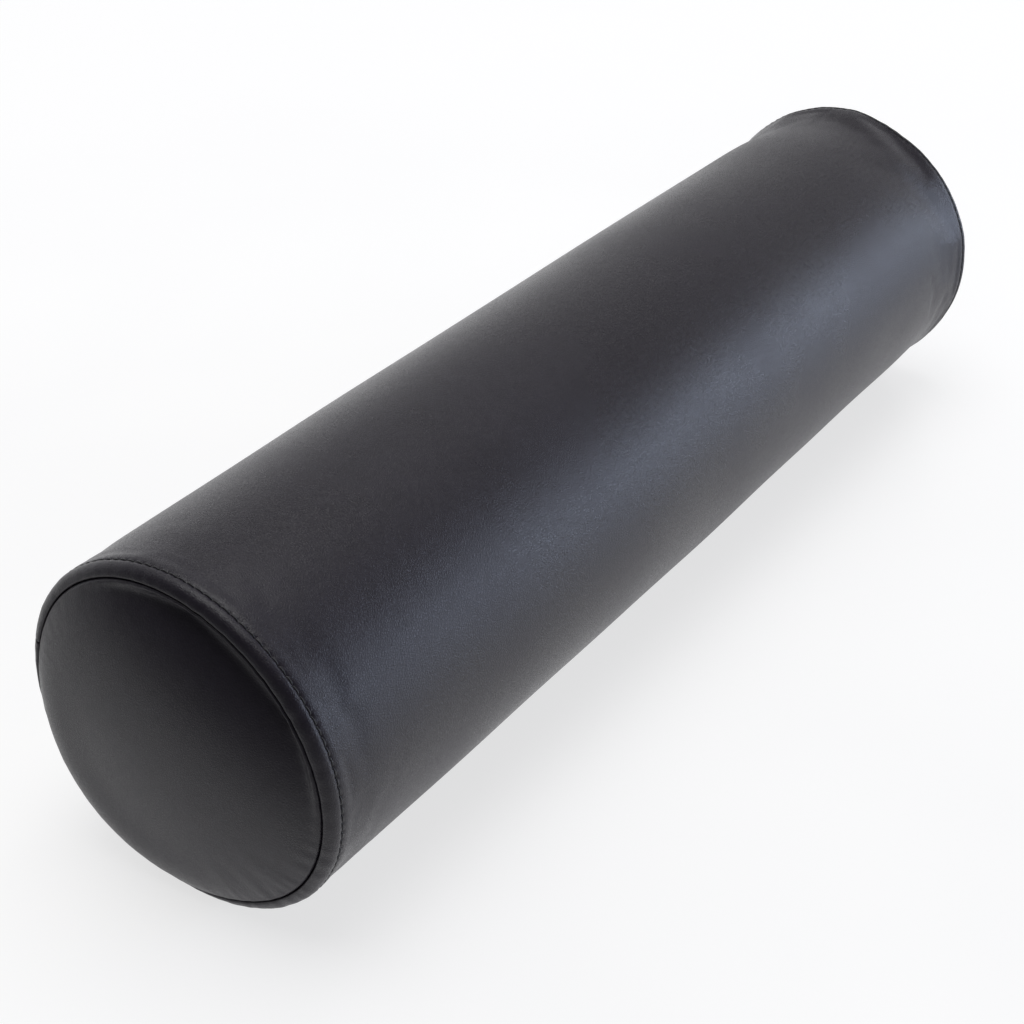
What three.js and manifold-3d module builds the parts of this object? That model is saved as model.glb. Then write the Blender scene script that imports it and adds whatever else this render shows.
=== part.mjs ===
// A round spa bolster: a foam roll wrapped in wadding, inside a zipped faux-leather cover.
// Millimetres, +Z up. The bolster lies along X, front end towards -X, and rests on the plane z = 0.
import * as THREE from "three";
import { mergeVertices } from "three/addons/utils/BufferGeometryUtils.js";
import Module from "manifold-3d";

const wasm = await Module();
wasm.setup();

// ---- Driving dimensions ----

const GAP = 0.3; // clearance between pieces that touch
const FACETS = 48; // flats round the bolster
const STRIP_STEP = 4; // the longest flat across a strip that bends round it

// Filling
const FOAM_RADIUS = 75;
const FOAM_LENGTH = 580;
const FOAM_END_BEVEL = 4;
const WADDING_THICKNESS = 2.3;
const REST_FLAT_WIDTH = 24; // the strip that settles flat under the bolster's weight

// Cover
const COVER_THICKNESS = 1.1;
const END_MARGIN = 6; // from each end of the foam to the end seam
const END_CROWN = 4; // how far an end panel swells past its seam
const SHOULDER_DROP = 5.3; // from the body's surface in to the end seam
const SHOULDER_RUN = 5; // from the end seam to where the body is full size
const SEAM_ALLOWANCE = 12; // cloth turned in beyond a seam
const RIM_ROUNDING = 1; // where an end panel turns into its seam

// Stitching
const THREAD_WIDTH = 0.7;
const THREAD_HEIGHT = 0.4;
const THREAD_COVERED = 0.1; // how far a sewn thread lies below the surface
const TOPSTITCH_MARGIN = 5.8; // from the end seam to its topstitching
const ZIP_STITCH_MARGIN = 2; // from the zip opening to the stitching beside it

// Zip
const ZIP_ANGLE = THREE.MathUtils.degToRad(15); // above level, on the +Y side
const ZIP_END_MARGIN = 46; // from each end seam to the zip opening
const ZIP_HEM = 10; // cover turned in beside the opening
const TAPE_THICKNESS = 0.5;
const TAPE_OVERRUN = 8; // tape past each end of the opening
const COIL_WIDTH = 2.2; // one side
const COIL_HEIGHT = 1.8;
const CHAIN_SPLIT = 1.6; // between the two coils, for the slider's post
const STOP_LENGTH = 2.5;
const STOP_RISE = 1; // how far a stop stands above the coil
const STOP_MARGIN = 1.2; // from a stop to the end of the opening
const STOP_OVERHANG = 0.2; // a stop is this much wider than its coil

// Slider and pull tab
const SLIDER_LENGTH = 11;
const SLIDER_NOSE_FLANGE = 1; // thickness of the walls beside the coils
const SLIDER_TAIL_FLANGE = 0.5;
const SLIDER_SIDE_CLEARANCE = 0.6; // from the slider to the cover beside it
const SLIDER_PLATE = 0.9;
const SLIDER_TOP_PLATE = 1.1;
const SLIDER_CHANNEL_CLEARANCE = 0.4; // beside the coils, and under the curved tape
const SLIDER_END_CLEARANCE = 0.5; // from the slider to a stop
const POST_WIDTH = 1;
const POST_LENGTH = 3;
const BRIDGE_LENGTH = 6.4;
const BRIDGE_WIDTH = 2;
const BRIDGE_WALL = 0.9;
const TAB_THICKNESS = 1.2;
const TAB_LENGTH = 27;
const TAB_WIDTH = 7.2;
const TAB_ARM = 1.5; // each side of its eye
const TAB_EYE_CLEARANCE = 0.5; // each side of the bridge
const TAB_EYE_REACH = 1.2; // past the bridge, so that the tab can turn over it

// ---- Sizes that follow ----

const WADDING_INNER = FOAM_RADIUS + GAP;
const WADDING_OUTER = WADDING_INNER + WADDING_THICKNESS;
const COVER_INNER = WADDING_OUTER + GAP;
const BODY_RADIUS = COVER_INNER + COVER_THICKNESS;
const AXIS_HEIGHT = Math.sqrt(BODY_RADIUS ** 2 - (REST_FLAT_WIDTH / 2) ** 2);
const SEAM_X = FOAM_LENGTH / 2 + END_MARGIN;
const SEAM_RADIUS = BODY_RADIUS - SHOULDER_DROP;
const FOLDED_THICKNESS = 2 * COVER_THICKNESS;
const SKIRT_OUTER_INSET = FOLDED_THICKNESS + GAP; // an end panel's turned-in edge, from the surface
const SKIRT_INNER_INSET = SKIRT_OUTER_INSET + COVER_THICKNESS;
const FOAM_END_RADIUS = Math.min(FOAM_RADIUS, BODY_RADIUS - SKIRT_INNER_INSET - GAP);

// Zip layers, as distances from the bolster's axis
const LOWER_PLATE_BOTTOM = FOAM_RADIUS + GAP;
const LOWER_PLATE_TOP = LOWER_PLATE_BOTTOM + SLIDER_PLATE;
const TAPE_INNER = LOWER_PLATE_TOP + SLIDER_CHANNEL_CLEARANCE;
const TAPE_OUTER = TAPE_INNER + TAPE_THICKNESS;
const HEM_INNER = TAPE_OUTER + GAP;
const COIL_TOP = HEM_INNER + COIL_HEIGHT;
const STOP_TOP = COIL_TOP + STOP_RISE;
const TOP_PLATE_BOTTOM = COIL_TOP + GAP;
const TOP_PLATE_TOP = TOP_PLATE_BOTTOM + SLIDER_TOP_PLATE;

// Zip widths, from its centre line
const COIL_INNER_EDGE = CHAIN_SPLIT / 2;
const COIL_OUTER_EDGE = COIL_INNER_EDGE + COIL_WIDTH;
const STOP_OUTER_EDGE = COIL_OUTER_EDGE + STOP_OVERHANG;
const CHANNEL_HALF = COIL_OUTER_EDGE + SLIDER_CHANNEL_CLEARANCE;
const SLIDER_NOSE_HALF = CHANNEL_HALF + SLIDER_NOSE_FLANGE;
const SLIDER_TAIL_HALF = CHANNEL_HALF + SLIDER_TAIL_FLANGE;
const OPENING_HALF = SLIDER_NOSE_HALF + SLIDER_SIDE_CLEARANCE;
const HEM_EDGE = OPENING_HALF + ZIP_HEM;

// Places along the zip
const OPENING_X = SEAM_X - ZIP_END_MARGIN;
const STOP_OUTER_X = OPENING_X - STOP_MARGIN;
const STOP_INNER_X = STOP_OUTER_X - STOP_LENGTH;
const COIL_X = STOP_INNER_X - GAP;
const SLIDER_REST_X = STOP_INNER_X - SLIDER_END_CLEARANCE - SLIDER_LENGTH / 2;

// The bridge over the slider, and the tab's pivot bar inside it
const BRIDGE_INNER_HEIGHT = TAB_THICKNESS * Math.SQRT2 + 2 * GAP;
const PIVOT_HEIGHT = TOP_PLATE_TOP + BRIDGE_INNER_HEIGHT / 2;
const EYE_END = BRIDGE_LENGTH / 2 + TAB_EYE_REACH;
const EYE_HALF_WIDTH = BRIDGE_WIDTH / 2 + TAB_EYE_CLEARANCE;
const TAB_NECK_HALF = EYE_HALF_WIDTH + TAB_ARM;

const FAR = 2 * (BODY_RADIUS + SEAM_X); // larger than the bolster, for cutting

// ---- Making solids ----

// A closed geometry as a solid that can be cut and joined.
function toSolid(geometry) {
  const loose = geometry.index ? geometry.toNonIndexed() : geometry.clone();
  loose.deleteAttribute("normal");
  loose.deleteAttribute("uv");
  const merged = mergeVertices(loose, 1e-4);
  const corners = merged.index.array;
  const triVerts = [];
  for (let i = 0; i < corners.length; i += 3) {
    const triangle = [corners[i], corners[i + 1], corners[i + 2]];
    if (new Set(triangle).size === 3) {
      triVerts.push(...triangle);
    }
  }
  return new wasm.Manifold(
    new wasm.Mesh({
      numProp: 3,
      vertProperties: new Float32Array(merged.attributes.position.array),
      triVerts: new Uint32Array(triVerts),
    }),
  );
}

// A solid as a geometry with flat faces.
function toGeometry(solid) {
  const mesh = solid.getMesh();
  const geometry = new THREE.BufferGeometry();
  geometry.setAttribute("position", new THREE.BufferAttribute(new Float32Array(mesh.vertProperties), 3));
  geometry.setIndex(new THREE.BufferAttribute(new Uint32Array(mesh.triVerts), 1));
  const flat = geometry.toNonIndexed();
  flat.computeVertexNormals();
  return flat;
}

// A box between two corners.
function box([x0, y0, z0], [x1, y1, z1]) {
  const geometry = new THREE.BoxGeometry(x1 - x0, y1 - y0, z1 - z0);
  geometry.translate((x0 + x1) / 2, (y0 + y1) / 2, (z0 + z1) / 2);
  return toSolid(geometry);
}

// A profile of [x, radius] points turned round the X axis. It starts and ends on the axis.
function revolve(profile) {
  const points = profile.map(([x, radius]) => new THREE.Vector2(radius, x));
  const geometry = new THREE.LatheGeometry(points, FACETS);
  geometry.rotateZ(-Math.PI / 2);
  return toSolid(geometry);
}

// One layer of the bolster: a turned profile that is also pressed flat underneath.
function layer(profile) {
  const radius = Math.max(...profile.map((point) => point[1]));
  const flatZ = BODY_RADIUS - radius - AXIS_HEIGHT;
  const below = box([-FAR, -FAR, -FAR], [FAR, FAR, flatZ]);
  return revolve(profile).subtract(below);
}

// A plain cylinder of the bolster between two places along X, pressed flat underneath.
function cylinderLayer(radius, x0, x1) {
  return layer([[x0, 0], [x0, radius], [x1, radius], [x1, 0]]);
}

// A flat outline in x and y, made solid between two heights.
function plate(outline, z0, z1) {
  const options = { depth: z1 - z0, bevelEnabled: false, curveSegments: 4 };
  const geometry = new THREE.ExtrudeGeometry(outline, options);
  geometry.translate(0, 0, z0);
  return toSolid(geometry);
}

// A strip that bends round the bolster's axis, between two distances from the zip's centre line.
function curvedStrip(innerRadius, outerRadius, y0, y1, x0, x1) {
  const steps = Math.max(1, Math.round((y1 - y0) / STRIP_STEP));
  const across = Array.from({ length: steps + 1 }, (_, i) => y0 + ((y1 - y0) * i) / steps);
  const onArc = (radius) => (y) => new THREE.Vector2(y, Math.sqrt(radius * radius - y * y));
  const back = across.toReversed();
  const outline = new THREE.Shape([...across.map(onArc(innerRadius)), ...back.map(onArc(outerRadius))]);
  const geometry = new THREE.ExtrudeGeometry(outline, { depth: x1 - x0, bevelEnabled: false });
  // The outline's x and y become the strip's y and z, and its depth runs along X.
  geometry.applyMatrix4(new THREE.Matrix4().set(0, 0, 1, x0, 1, 0, 0, 0, 0, 1, 0, 0, 0, 0, 0, 1));
  return toSolid(geometry);
}

// The same solid on the other side of the zip's centre line, or at the bolster's other end.
const acrossZip = (solid) => solid.mirror([0, 1, 0]);
const atRear = (solid) => solid.mirror([1, 0, 0]);

// ---- Groups: the bolster's axis, and the zip on its side ----

const bolster = new THREE.Group();
const core = new THREE.Group(); // its X axis is the bolster's own axis
core.position.z = AXIS_HEIGHT;
bolster.add(core);
const zip = new THREE.Group(); // its +Z points out of the bolster through the zip
zip.rotation.x = ZIP_ANGLE - Math.PI / 2;
core.add(zip);
zip.updateMatrix();

// A solid placed in the zip's group, as the cover sees it.
const fromZip = (solid) => solid.transform(zip.matrix.toArray());

function material(color, roughness, metalness) {
  return new THREE.MeshStandardMaterial({ color, roughness, metalness });
}

const LEATHER = [0x2b2a2d, 0.42, 0];
const THREAD = [0x151417, 0.7, 0];
const FOAM = [0xe9e2cf, 0.95, 0];
const WADDING = [0xf2f1ec, 1, 0];
const TAPE = [0x17171a, 0.85, 0];
const NYLON = [0x1b1b1e, 0.45, 0];
const METAL = [0x26262a, 0.35, 0.9];

// Adds one named piece to a group.
function addPiece(group, name, solid, finish) {
  const mesh = new THREE.Mesh(toGeometry(solid), material(...finish));
  mesh.name = name;
  group.add(mesh);
  return mesh;
}

// ---- The ends' profiles, with distances inward from the end seam ----

// A quarter of the shoulder, from the seam out to the body, set in from the cover's surface.
function shoulder(inset, steps) {
  const points = [];
  for (let i = 0; i <= steps; i++) {
    const turn = (i / steps) * (Math.PI / 2);
    const s = SHOULDER_RUN - (SHOULDER_RUN - inset) * Math.cos(turn);
    points.push([s, SEAM_RADIUS + (SHOULDER_DROP - inset) * Math.sin(turn)]);
  }
  return points;
}

// The swell of an end panel's face, from its centre to its rim.
function crown(rimRadius, rimS, steps) {
  const points = [];
  for (let i = 0; i <= steps; i++) {
    const part = i / steps;
    points.push([rimS - END_CROWN * (1 - part * part), rimRadius * part]);
  }
  return points;
}

// Distances inward from the front seam as places along X.
const frontX = (profile) => profile.map(([s, radius]) => [s - SEAM_X, radius]);
const rearX = (profile) => profile.map(([s, radius]) => [SEAM_X - s, radius]).reverse();

// ---- Filling ----

// The foam roll. Where the cover's turned-in edges leave less room, its ends are slimmer.
function foamCore() {
  const end = [
    [END_MARGIN, 0],
    [END_MARGIN, FOAM_END_RADIUS - FOAM_END_BEVEL],
    [END_MARGIN + FOAM_END_BEVEL, FOAM_END_RADIUS],
  ];
  const endToEnd = layer([...frontX(end), ...rearX(end)]);
  const fullX = SEAM_X - SEAM_ALLOWANCE - GAP;
  return endToEnd.add(cylinderLayer(FOAM_RADIUS, -fullX, fullX));
}

const ALLOWANCE_END = SEAM_ALLOWANCE + COVER_THICKNESS; // how far in the turned-in cover reaches

// Wadding round the foam, with its two edges kept apart behind the zip.
function waddingWrap() {
  const x = SEAM_X - ALLOWANCE_END - GAP;
  const wrap = cylinderLayer(WADDING_OUTER, -x, x).subtract(cylinderLayer(WADDING_INNER, -FAR, FAR));
  const opening = box([-FAR, -HEM_EDGE - 1, 0], [FAR, HEM_EDGE + 1, FAR]);
  return wrap.subtract(fromZip(opening));
}

const NECK_OUTER = SEAM_RADIUS - GAP; // an end panel where it passes through its seam
const NECK_INNER = NECK_OUTER - COVER_THICKNESS;
const FACE_RADIUS = NECK_OUTER - RIM_ROUNDING;

// Wadding between the foam's front end and the end panel.
function waddingEnd() {
  const radius = NECK_INNER - 2 * GAP - THREAD_WIDTH - GAP;
  const back = END_MARGIN - GAP;
  return revolve(frontX([...crown(radius, COVER_THICKNESS + GAP, 4), [back, radius], [back, 0]]));
}

// ---- Cover ----

function bodyPanel() {
  const shoulderFront = frontX(shoulder(0, 4));
  const shoulderRear = rearX(shoulder(0, 4));
  const outside = layer([[-SEAM_X, 0], ...shoulderFront, ...shoulderRear, [SEAM_X, 0]]);

  // Inside: a single layer along the middle, the hem beside the zip, and both ends turned in.
  const middleX = SEAM_X - ALLOWANCE_END;
  const hem = fromZip(box([-FAR, -HEM_EDGE, 0], [FAR, HEM_EDGE, FAR]));
  const middle = cylinderLayer(COVER_INNER, -middleX, middleX).subtract(hem);
  const behindHem = cylinderLayer(HEM_INNER, -middleX, middleX);
  const turnedIn = shoulder(FOLDED_THICKNESS, 3);
  const endHollow = layer([
    [-FAR, 0],
    [-FAR, SEAM_RADIUS],
    ...frontX(turnedIn),
    [0, BODY_RADIUS - FOLDED_THICKNESS],
    [0, 0],
  ]);
  const hollow = endHollow.intersect(box([-FAR, -FAR, -FAR], [-middleX + 1, FAR, FAR]));
  const opening = box([-OPENING_X, -OPENING_HALF, 0], [OPENING_X, OPENING_HALF, FAR]);
  const zipCuts = [opening, zipStitch(GAP), acrossZip(zipStitch(GAP)), barTack(GAP), atRear(barTack(GAP))];
  const cuts = [
    middle,
    behindHem,
    hollow,
    atRear(hollow),
    topstitch(GAP),
    atRear(topstitch(GAP)),
    ...zipCuts.map(fromZip),
  ];
  return outside.subtract(wasm.Manifold.union(cuts));
}

// The front end panel: a swelled face that turns in at the seam and lies under the body panel's edge.
function endPanel() {
  const outer = SKIRT_OUTER_INSET;
  const inner = SKIRT_INNER_INSET;
  const bend = Math.SQRT1_2;
  const outside = [
    ...crown(FACE_RADIUS, 0, 4),
    [RIM_ROUNDING * (1 - bend), NECK_OUTER - RIM_ROUNDING * (1 - bend)],
    [RIM_ROUNDING, NECK_OUTER],
    [outer, NECK_OUTER],
    ...shoulder(outer, 2),
    [SEAM_ALLOWANCE, BODY_RADIUS - outer],
    [SEAM_ALLOWANCE, 0],
  ];
  const inside = [
    ...crown(NECK_INNER, COVER_THICKNESS, 4),
    [inner, NECK_INNER],
    ...shoulder(inner, 2),
    [SEAM_ALLOWANCE + 1, BODY_RADIUS - inner],
    [SEAM_ALLOWANCE + 1, 0],
  ];
  return layer(frontX(outside)).subtract(layer(frontX(inside)));
}

// ---- Threads. Each sewn thread lies in a groove that clears it by the given amount. ----

const THREAD_TOP = BODY_RADIUS - THREAD_COVERED;
const THREAD_BOTTOM = THREAD_TOP - THREAD_HEIGHT;
const threadTop = (clearance) => (clearance ? BODY_RADIUS + 1 : THREAD_TOP);

// The ring of topstitching behind the front end seam.
function topstitch(clearance) {
  const centre = TOPSTITCH_MARGIN - SEAM_X;
  const half = THREAD_WIDTH / 2 + clearance;
  const ring = cylinderLayer(threadTop(clearance), centre - half, centre + half);
  return ring.subtract(cylinderLayer(THREAD_BOTTOM - clearance, -FAR, FAR));
}

// The thread that joins the front end panel to the body panel, on the inside of the seam.
function seamThread() {
  const s = SKIRT_INNER_INSET + GAP - SEAM_X;
  const inner = NECK_INNER + GAP;
  const ring = cylinderLayer(inner + THREAD_WIDTH, s, s + THREAD_WIDTH);
  return ring.subtract(cylinderLayer(inner, -FAR, FAR));
}

// The row of stitches along one side of the zip.
function zipStitch(clearance) {
  const centre = OPENING_HALF + ZIP_STITCH_MARGIN;
  const half = THREAD_WIDTH / 2 + clearance;
  const x = OPENING_X + clearance;
  return curvedStrip(THREAD_BOTTOM - clearance, threadTop(clearance), centre - half, centre + half, -x, x);
}

// The bar tack across the front end of the zip.
function barTack(clearance) {
  const x = -OPENING_X - GAP - ZIP_STITCH_MARGIN;
  const half = THREAD_WIDTH + clearance;
  const y = OPENING_HALF + ZIP_STITCH_MARGIN + THREAD_WIDTH + clearance;
  return curvedStrip(THREAD_BOTTOM - clearance, threadTop(clearance), -y, y, x - half, x + half);
}

// ---- Zip, in its own group ----

// Half of the tape, on the +Y side of the zip's centre line.
function zipTape() {
  const x = OPENING_X + TAPE_OVERRUN;
  return curvedStrip(TAPE_INNER, TAPE_OUTER, COIL_INNER_EDGE, HEM_EDGE, -x, x);
}

function zipCoil() {
  return box([-COIL_X, COIL_INNER_EDGE, HEM_INNER], [COIL_X, COIL_OUTER_EDGE, COIL_TOP]);
}

function topStop() {
  return box([STOP_INNER_X, COIL_INNER_EDGE, HEM_INNER], [STOP_OUTER_X, STOP_OUTER_EDGE, STOP_TOP]);
}

function bottomStop() {
  return box([-STOP_OUTER_X, -STOP_OUTER_EDGE, HEM_INNER], [-STOP_INNER_X, STOP_OUTER_EDGE, STOP_TOP]);
}

// The slider's outline from above: a round nose towards +X and a narrower tail.
function sliderOutline() {
  const nose = SLIDER_NOSE_HALF;
  const tail = SLIDER_TAIL_HALF;
  const end = SLIDER_LENGTH / 2;
  const corner = 1.5;
  const outline = new THREE.Shape();
  outline.moveTo(-end, -tail);
  outline.lineTo(0, -tail);
  outline.lineTo(corner, -nose);
  outline.lineTo(end - corner, -nose);
  outline.quadraticCurveTo(end, -nose, end, corner - nose);
  outline.lineTo(end, nose - corner);
  outline.quadraticCurveTo(end, nose, end - corner, nose);
  outline.lineTo(corner, nose);
  outline.lineTo(0, tail);
  outline.lineTo(-end, tail);
  outline.closePath();
  return outline;
}

// The arch that holds the pull tab, from the slider's top.
function sliderBridge() {
  const half = BRIDGE_LENGTH / 2;
  const top = BRIDGE_INNER_HEIGHT + BRIDGE_WALL;
  const corner = 1.4;
  const foot = SLIDER_TOP_PLATE / 2;
  const outline = new THREE.Shape();
  outline.moveTo(-half, -foot);
  outline.lineTo(BRIDGE_WALL - half, -foot);
  outline.lineTo(BRIDGE_WALL - half, BRIDGE_INNER_HEIGHT);
  outline.lineTo(half - BRIDGE_WALL, BRIDGE_INNER_HEIGHT);
  outline.lineTo(half - BRIDGE_WALL, -foot);
  outline.lineTo(half, -foot);
  outline.lineTo(half, top - corner);
  outline.quadraticCurveTo(half, top, half - corner, top);
  outline.lineTo(corner - half, top);
  outline.quadraticCurveTo(-half, top, -half, top - corner);
  outline.closePath();
  const options = { depth: BRIDGE_WIDTH, bevelEnabled: false, curveSegments: 3 };
  const geometry = new THREE.ExtrudeGeometry(outline, options);
  geometry.rotateX(Math.PI / 2);
  geometry.translate(0, BRIDGE_WIDTH / 2, TOP_PLATE_TOP);
  return toSolid(geometry);
}

function zipSlider() {
  const half = SLIDER_LENGTH / 2;
  const outline = sliderOutline();
  const channel = box([-SLIDER_LENGTH, -CHANNEL_HALF, 0], [SLIDER_LENGTH, CHANNEL_HALF, TOP_PLATE_BOTTOM]);
  const cap = plate(outline, HEM_INNER, TOP_PLATE_TOP).subtract(channel);
  const lowerPlate = plate(outline, LOWER_PLATE_BOTTOM, LOWER_PLATE_TOP);
  const post = box(
    [half - POST_LENGTH - 1, -POST_WIDTH / 2, LOWER_PLATE_BOTTOM + SLIDER_PLATE / 2],
    [half - 1, POST_WIDTH / 2, TOP_PLATE_TOP - SLIDER_TOP_PLATE / 2],
  );
  return cap.add(lowerPlate).add(post).add(sliderBridge());
}

// The pull tab, lying back over the zip. Its pivot bar passes under the bridge at the group's origin.
function pullTab() {
  const bar = TAB_THICKNESS / 2;
  const neck = TAB_NECK_HALF;
  const grip = TAB_WIDTH / 2;
  const outline = new THREE.Shape();
  outline.moveTo(bar, -neck);
  outline.lineTo(bar, neck);
  outline.lineTo(-EYE_END - 1, neck);
  outline.lineTo(-EYE_END - 4, grip);
  outline.lineTo(grip - TAB_LENGTH, grip);
  outline.absarc(grip - TAB_LENGTH, 0, grip, Math.PI / 2, 1.5 * Math.PI, false);
  outline.lineTo(-EYE_END - 4, -grip);
  outline.lineTo(-EYE_END - 1, -neck);
  outline.closePath();
  const eye = box([-EYE_END, -EYE_HALF_WIDTH, -TAB_THICKNESS], [-bar, EYE_HALF_WIDTH, TAB_THICKNESS]);
  return plate(outline, -TAB_THICKNESS / 2, TAB_THICKNESS / 2).subtract(eye);
}

// ---- Assembly ----

addPiece(core, "foam_core", foamCore(), FOAM);
addPiece(core, "wadding_wrap", waddingWrap(), WADDING);
addPiece(core, "cover_body_panel", bodyPanel(), LEATHER);

for (const [end, place] of [["front", (solid) => solid], ["rear", atRear]]) {
  addPiece(core, `wadding_end_${end}`, place(waddingEnd()), WADDING);
  addPiece(core, `end_panel_${end}`, place(endPanel()), LEATHER);
  addPiece(core, `topstitch_${end}`, place(topstitch(0)), THREAD);
  addPiece(core, `seam_thread_${end}`, place(seamThread()), THREAD);
  addPiece(zip, `zip_bar_tack_${end}`, place(barTack(0)), THREAD);
}

// The zip group's +Y side faces down.
for (const [side, place] of [["lower", (solid) => solid], ["upper", acrossZip]]) {
  addPiece(zip, `zip_tape_${side}`, place(zipTape()), TAPE);
  addPiece(zip, `zip_coil_${side}`, place(zipCoil()), NYLON);
  addPiece(zip, `zip_stitch_${side}`, place(zipStitch(0)), THREAD);
  addPiece(zip, `zip_top_stop_${side}`, place(topStop()), METAL);
}
addPiece(zip, "zip_bottom_stop", bottomStop(), METAL);

const slider = new THREE.Group(); // at the closed end of the zip
slider.position.x = SLIDER_REST_X;
zip.add(slider);
addPiece(slider, "zip_slider", zipSlider(), METAL);
const tab = addPiece(slider, "zip_pull_tab", pullTab(), METAL);
tab.position.z = PIVOT_HEIGHT;

export default bolster;
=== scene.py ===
"""A massage bolster: a foam cylinder in quilted wadding, under a zipped cover of black leather cloth.

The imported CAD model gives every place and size. This script sews the visible cover round it, stitches
it, dresses the zip and sets up a plain studio. Lengths in the classes are millimetres, because that is
how a maker reads a pattern, and MM turns them into the metres that Blender works in.
"""

import logging
import math
from dataclasses import dataclass, field
from enum import Enum
from typing import NamedTuple

import bmesh
import bpy
import numpy as np
from mathutils import Matrix, Vector


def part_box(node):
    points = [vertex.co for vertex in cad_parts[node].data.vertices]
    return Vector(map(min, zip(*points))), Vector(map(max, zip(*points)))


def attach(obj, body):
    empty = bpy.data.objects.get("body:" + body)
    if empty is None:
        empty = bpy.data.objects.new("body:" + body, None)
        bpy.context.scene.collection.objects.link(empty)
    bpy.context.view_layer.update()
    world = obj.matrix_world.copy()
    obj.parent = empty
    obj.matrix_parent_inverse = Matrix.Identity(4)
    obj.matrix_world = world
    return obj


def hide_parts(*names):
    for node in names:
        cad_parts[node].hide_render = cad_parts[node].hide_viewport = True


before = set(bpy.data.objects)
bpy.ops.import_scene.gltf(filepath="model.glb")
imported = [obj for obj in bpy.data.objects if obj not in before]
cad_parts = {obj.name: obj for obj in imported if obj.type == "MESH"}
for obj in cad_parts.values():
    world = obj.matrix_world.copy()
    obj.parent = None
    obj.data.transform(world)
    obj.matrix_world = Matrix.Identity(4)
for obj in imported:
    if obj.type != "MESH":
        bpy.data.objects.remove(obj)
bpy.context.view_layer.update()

Array = np.ndarray
Faces = list[tuple[int, ...]]
Node = bpy.types.Node
Piece = bpy.types.Object
Range = tuple[float, float]
Socket = bpy.types.NodeSocket
Triple = tuple[float, float, float]

MM = 0.001
TURN = 2 * math.pi
UNLIT = (0.03, 0.03, 0.03)
WHITE = (1.0, 1.0, 1.0)
log = logging.getLogger("bolster")


class End(Enum):
    """The two ends of the bolster, by which way each faces along the axis."""

    FRONT = -1
    REAR = 1

    @property
    def label(self) -> str:
        """The end's name as pieces carry it."""
        return self.name.lower()


# --------------------------------------------------------------------------- numbers and curves


def ripple(angle: Array, lowest: int, highest: int, seed: int) -> Array:
    """An uneven wave that joins up with itself round the bolster.

    Args:
        angle: Angles in radians.
        lowest: Fewest waves in one turn.
        highest: Most waves in one turn.
        seed: Picks the waves, so that each run gives the same ones.

    Returns:
        Heights with a spread of about 1.
    """
    rng = np.random.default_rng(seed)
    total = np.zeros_like(angle, dtype=float)
    counts = rng.choice(np.arange(lowest, highest + 1), size=min(9, highest - lowest + 1), replace=False)
    for count in counts:
        total += rng.uniform(0.5, 1.0) * np.cos(count * angle + rng.uniform(0, TURN))
    return total / math.sqrt(len(counts) / 2)


def rolling(along: Array, angle: Array, lengths: Range, seed: int) -> Array:
    """Soft unevenness over a tube.

    Args:
        along: Distances along the axis in millimetres.
        angle: Angles round the axis in radians.
        lengths: Shortest and longest wave along the axis in millimetres.
        seed: Picks the waves.

    Returns:
        Heights with a spread of about 1.
    """
    rng = np.random.default_rng(seed)
    total = np.zeros(np.broadcast(along, angle).shape)
    for _ in range(10):
        wave = TURN / rng.uniform(*lengths)
        total = total + np.cos(rng.integers(1, 6) * angle + wave * along + rng.uniform(0, TURN))
    return total / math.sqrt(5)


def bell(distance: Array, width: float) -> Array:
    """A smooth hump of height 1 that has faded at about twice its width."""
    return np.exp(-((distance / width) ** 2))


def window(angle: Array, centre: float, reach: float) -> Array:
    """A smooth hump round the bolster.

    Args:
        angle: Angles in radians.
        centre: Middle of the hump in degrees.
        reach: Degrees from the middle to where it ends.

    Returns:
        1 at the middle, falling to 0 at the reach and beyond.
    """
    away = np.abs((np.degrees(angle) - centre + 180) % 360 - 180) / reach
    return np.where(away < 1, np.cos(np.clip(away, 0, 1) * math.pi / 2) ** 2, 0.0)


def settle(height: Array, softness: float = 0.35) -> Array:
    """Heights above the floor in millimetres, with what would be under it pressed flat."""
    scaled = np.clip(height / softness, -60, 60)
    return np.where(scaled > 30, height, softness * np.log1p(np.exp(scaled)))


# --------------------------------------------------------------------------- meshes


def loft(rows: list[Array], closed: bool) -> tuple[Array, Faces]:
    """Joins rows of points with faces.

    Args:
        rows: Point rows. A row has as many spans as the one before, or half as many, or twice as many.
        closed: Whether each row joins up with itself.

    Returns:
        All points, and the faces as tuples of point numbers.
    """
    starts = np.cumsum([0] + [len(row) for row in rows])
    faces: Faces = []
    for number in range(len(rows) - 1):
        first, second = starts[number], starts[number + 1]
        many, few = len(rows[number]), len(rows[number + 1])
        spans, other = (many, few) if closed else (many - 1, few - 1)
        if spans >= other:
            ratio = spans // other
            for j in range(other):
                edge = [int(first + (j * ratio + k) % many) for k in range(ratio + 1)]
                faces.append((*edge, int(second + (j + 1) % few), int(second + j)))
        else:
            ratio = other // spans
            for j in range(spans):
                edge = [int(second + (j * ratio + k) % few) for k in range(ratio, -1, -1)]
                faces.append((int(first + j), int(first + (j + 1) % many), *edge))
    return np.concatenate(rows), faces


def end_faces(total: int, count: int) -> Faces:
    """Flat faces that close the first and the last row of a loft.

    Args:
        total: How many points the loft has.
        count: How many points a row has.

    Returns:
        The two faces.
    """
    return [tuple(range(count - 1, -1, -1)), tuple(range(total - count, total))]


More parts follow.
